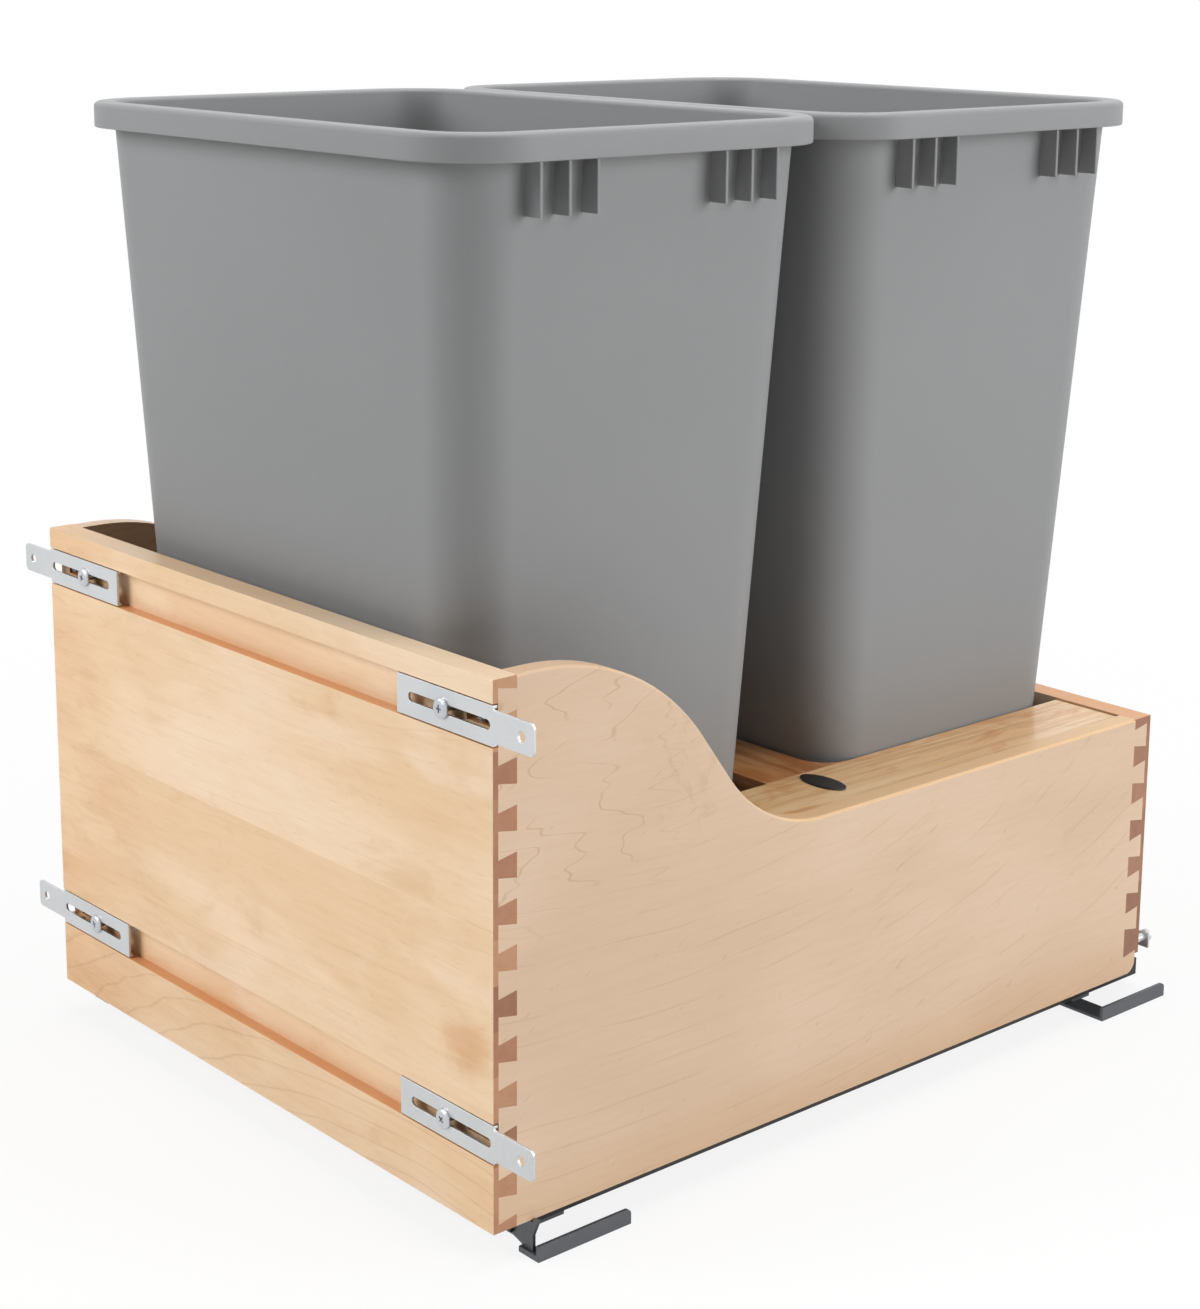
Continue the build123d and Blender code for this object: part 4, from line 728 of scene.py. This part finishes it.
def add_thread(bm, start, end, centre_y, centre_z):
    """A threaded rod along X, its thread a real helix."""
    length = abs(end - start)
    way = 1 if end > start else -1
    count = int(length / THREAD_PITCH * THREAD_ROWS)
    rings = []
    for row in range(count + 1):
        along = length * row / count
        ring = []
        for step in range(THREAD_STEPS):
            turn = along / THREAD_PITCH - step / THREAD_STEPS
            tooth = abs(2 * (turn - floor(turn)) - 1)
            radius = THREAD_RADIUS - THREAD_DEPTH * (1 - tooth)
            angle = 2 * pi * step / THREAD_STEPS
            ring.append((start + way * along, centre_y + radius * cos(angle),
                         centre_z + radius * sin(angle)))
        rings.append(ring)
    skin(bm, rings)


def make_adjusting_screws():
    name = "bracket_adjusting_screws"
    low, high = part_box(name)
    axis_y = low.y + ADJUSTER_END_RADIUS
    bm = bmesh.new()
    for side, end in ((-1, low.x), (1, high.x)):
        for z in (low.z + ADJUSTER_END_RADIUS, high.z - ADJUSTER_END_RADIUS):
            add_thread(bm, end - side * ADJUSTER_LENGTH, end, axis_y, z)
            first = len(bm.faces)
            centre = Vector((end - side * BOSS_SETBACK, axis_y - BOSS_STAND, z))
            turned(bm, BOSS_PROFILE, centre, BOSS_ACROSS, BOSS_UP, FORWARD, BOSS_CROSS_SHARE)
            bm.faces.ensure_lookup_table()
            for face in bm.faces[first:]:
                face.material_index = 1
    make_piece(name + "_threaded", bm, [dark_screw, steel], name)


make_clamp_screws()
make_adjusting_screws()


# Sheet metal and boards with their edges eased: width, steps and the least angle of an eased edge
MERGE, FLAT, NORMAL_WEIGHT = 0.001 * MM, radians(1.0), 100
EASES = {
    "door_bracket": (0.22 * MM, 2, radians(40)), "foot": (0.3 * MM, 2, radians(40)),
    "deck_strip": (0.7 * MM, 3, radians(40)), "deck_cross_bar": (0.7 * MM, 3, radians(40)),
    "deck_front_bar": (0.7 * MM, 3, radians(40)), "badge_plate": (0.35 * MM, 3, radians(60)),
}


def eased(name, width, steps, sharp):
    """A copy of a CAD node with its sharp edges rounded."""
    bm = bmesh.new()
    bm.from_mesh(nodes[name].data)
    bmesh.ops.remove_doubles(bm, verts=bm.verts, dist=MERGE)
    bmesh.ops.dissolve_limit(bm, angle_limit=FLAT, verts=bm.verts, edges=bm.edges)
    corners = [e for e in bm.edges if len(e.link_faces) == 2 and e.calc_face_angle() > sharp]
    bmesh.ops.bevel(bm, geom=corners, offset=width, offset_type="OFFSET", segments=steps,
                    profile=0.5, affect="EDGES", clamp_overlap=True)
    piece = make_piece(name + "_eased", bm, [finish_of(name)], name)
    level = piece.modifiers.new("flat_faces", "WEIGHTED_NORMAL")
    level.keep_sharp, level.weight = True, NORMAL_WEIGHT


for name in nodes:
    for ending, ease in EASES.items():
        if name.endswith(ending):
            eased(name, *ease)


# Floor, light and camera
WHITE = (1, 1, 1, 1)
FLOOR_REACH, FLOOR_GREY = 14.0, 0.85
SHADOW_SHARE, SHADOW_REACH = 0.86, (0.45, 1.3)
AMBIENT = 0.08
LAMPS = {
    "left_softbox": dict(at=(-1.4, -2.8, 1.9), aim=(0, -0.2, 0.3), size=1.8, power=76.0),
    "right_softbox": dict(at=(2.9, 1.5, 1.3), aim=(0.2, 0, 0.3), size=2.0, power=70.0),
    "top_softbox": dict(at=(0.1, 0.3, 2.8), aim=(0, 0, 0.3), size=2.0, power=62.0),
}


def floor_white():
    """White where it is seen, but for a share of the object's shadow; grey for bounced light."""
    material = bpy.data.materials.new("floor_white")
    material.use_nodes = True
    n = Nodes(material.node_tree)
    grey = n.fill(n.add("ShaderNodeBsdfDiffuse"), Color=(FLOOR_GREY, FLOOR_GREY, FLOOR_GREY, 1))
    glow = n.fill(n.add("ShaderNodeEmission"), Color=WHITE)
    place = n.parts(n.add("ShaderNodeTexCoord").outputs["Object"])
    reach = n.length(place["X"], place["Y"])
    blend = n.add("ShaderNodeMixShader")
    n.join(n.times(n.seen(), n.between(reach, *SHADOW_REACH, SHADOW_SHARE, 1.0)), blend.inputs[0])
    n.join(grey.outputs[0], blend.inputs[1])
    n.join(glow.outputs[0], blend.inputs[2])
    n.join(blend.outputs[0], n.add("ShaderNodeOutputMaterial").inputs[0])
    return material


def make_floor():
    mesh = bpy.data.meshes.new("floor")
    bm = bmesh.new()
    bm.faces.new([bm.verts.new((x * FLOOR_REACH, y * FLOOR_REACH, 0))
                  for x, y in ((-1, -1), (1, -1), (1, 1), (-1, 1))])
    bm.to_mesh(mesh)
    bm.free()
    mesh.materials.append(floor_white())
    floor_piece = bpy.data.objects.new("floor", mesh)
    bpy.context.scene.collection.objects.link(floor_piece)


def make_world():
    """White where it is seen, and dim as a light."""
    world = bpy.data.worlds.new("studio")
    bpy.context.scene.world = world
    world.use_nodes = True
    n = Nodes(world.node_tree)
    strength = n.between(n.seen(), 0.0, 1.0, AMBIENT, 1.0)
    background = n.fill(n.add("ShaderNodeBackground"), Color=WHITE, Strength=strength)
    n.join(background.outputs[0], n.add("ShaderNodeOutputWorld").inputs[0])


def make_lamp(name, at, aim, size, power):
    data = bpy.data.lights.new(name, "AREA")
    data.shape = "RECTANGLE"
    data.size, data.size_y = size, size
    data.energy = power
    lamp = bpy.data.objects.new(name, data)
    bpy.context.scene.collection.objects.link(lamp)
    lamp.location = at
    lamp.rotation_mode = "QUATERNION"
    lamp.rotation_quaternion = (Vector(aim) - Vector(at)).to_track_quat("-Z", "Y")


make_floor()
make_world()
for lamp_name, lamp in LAMPS.items():
    make_lamp(lamp_name, **lamp)
make_camera()
bpy.context.scene.view_settings.view_transform = "Standard"
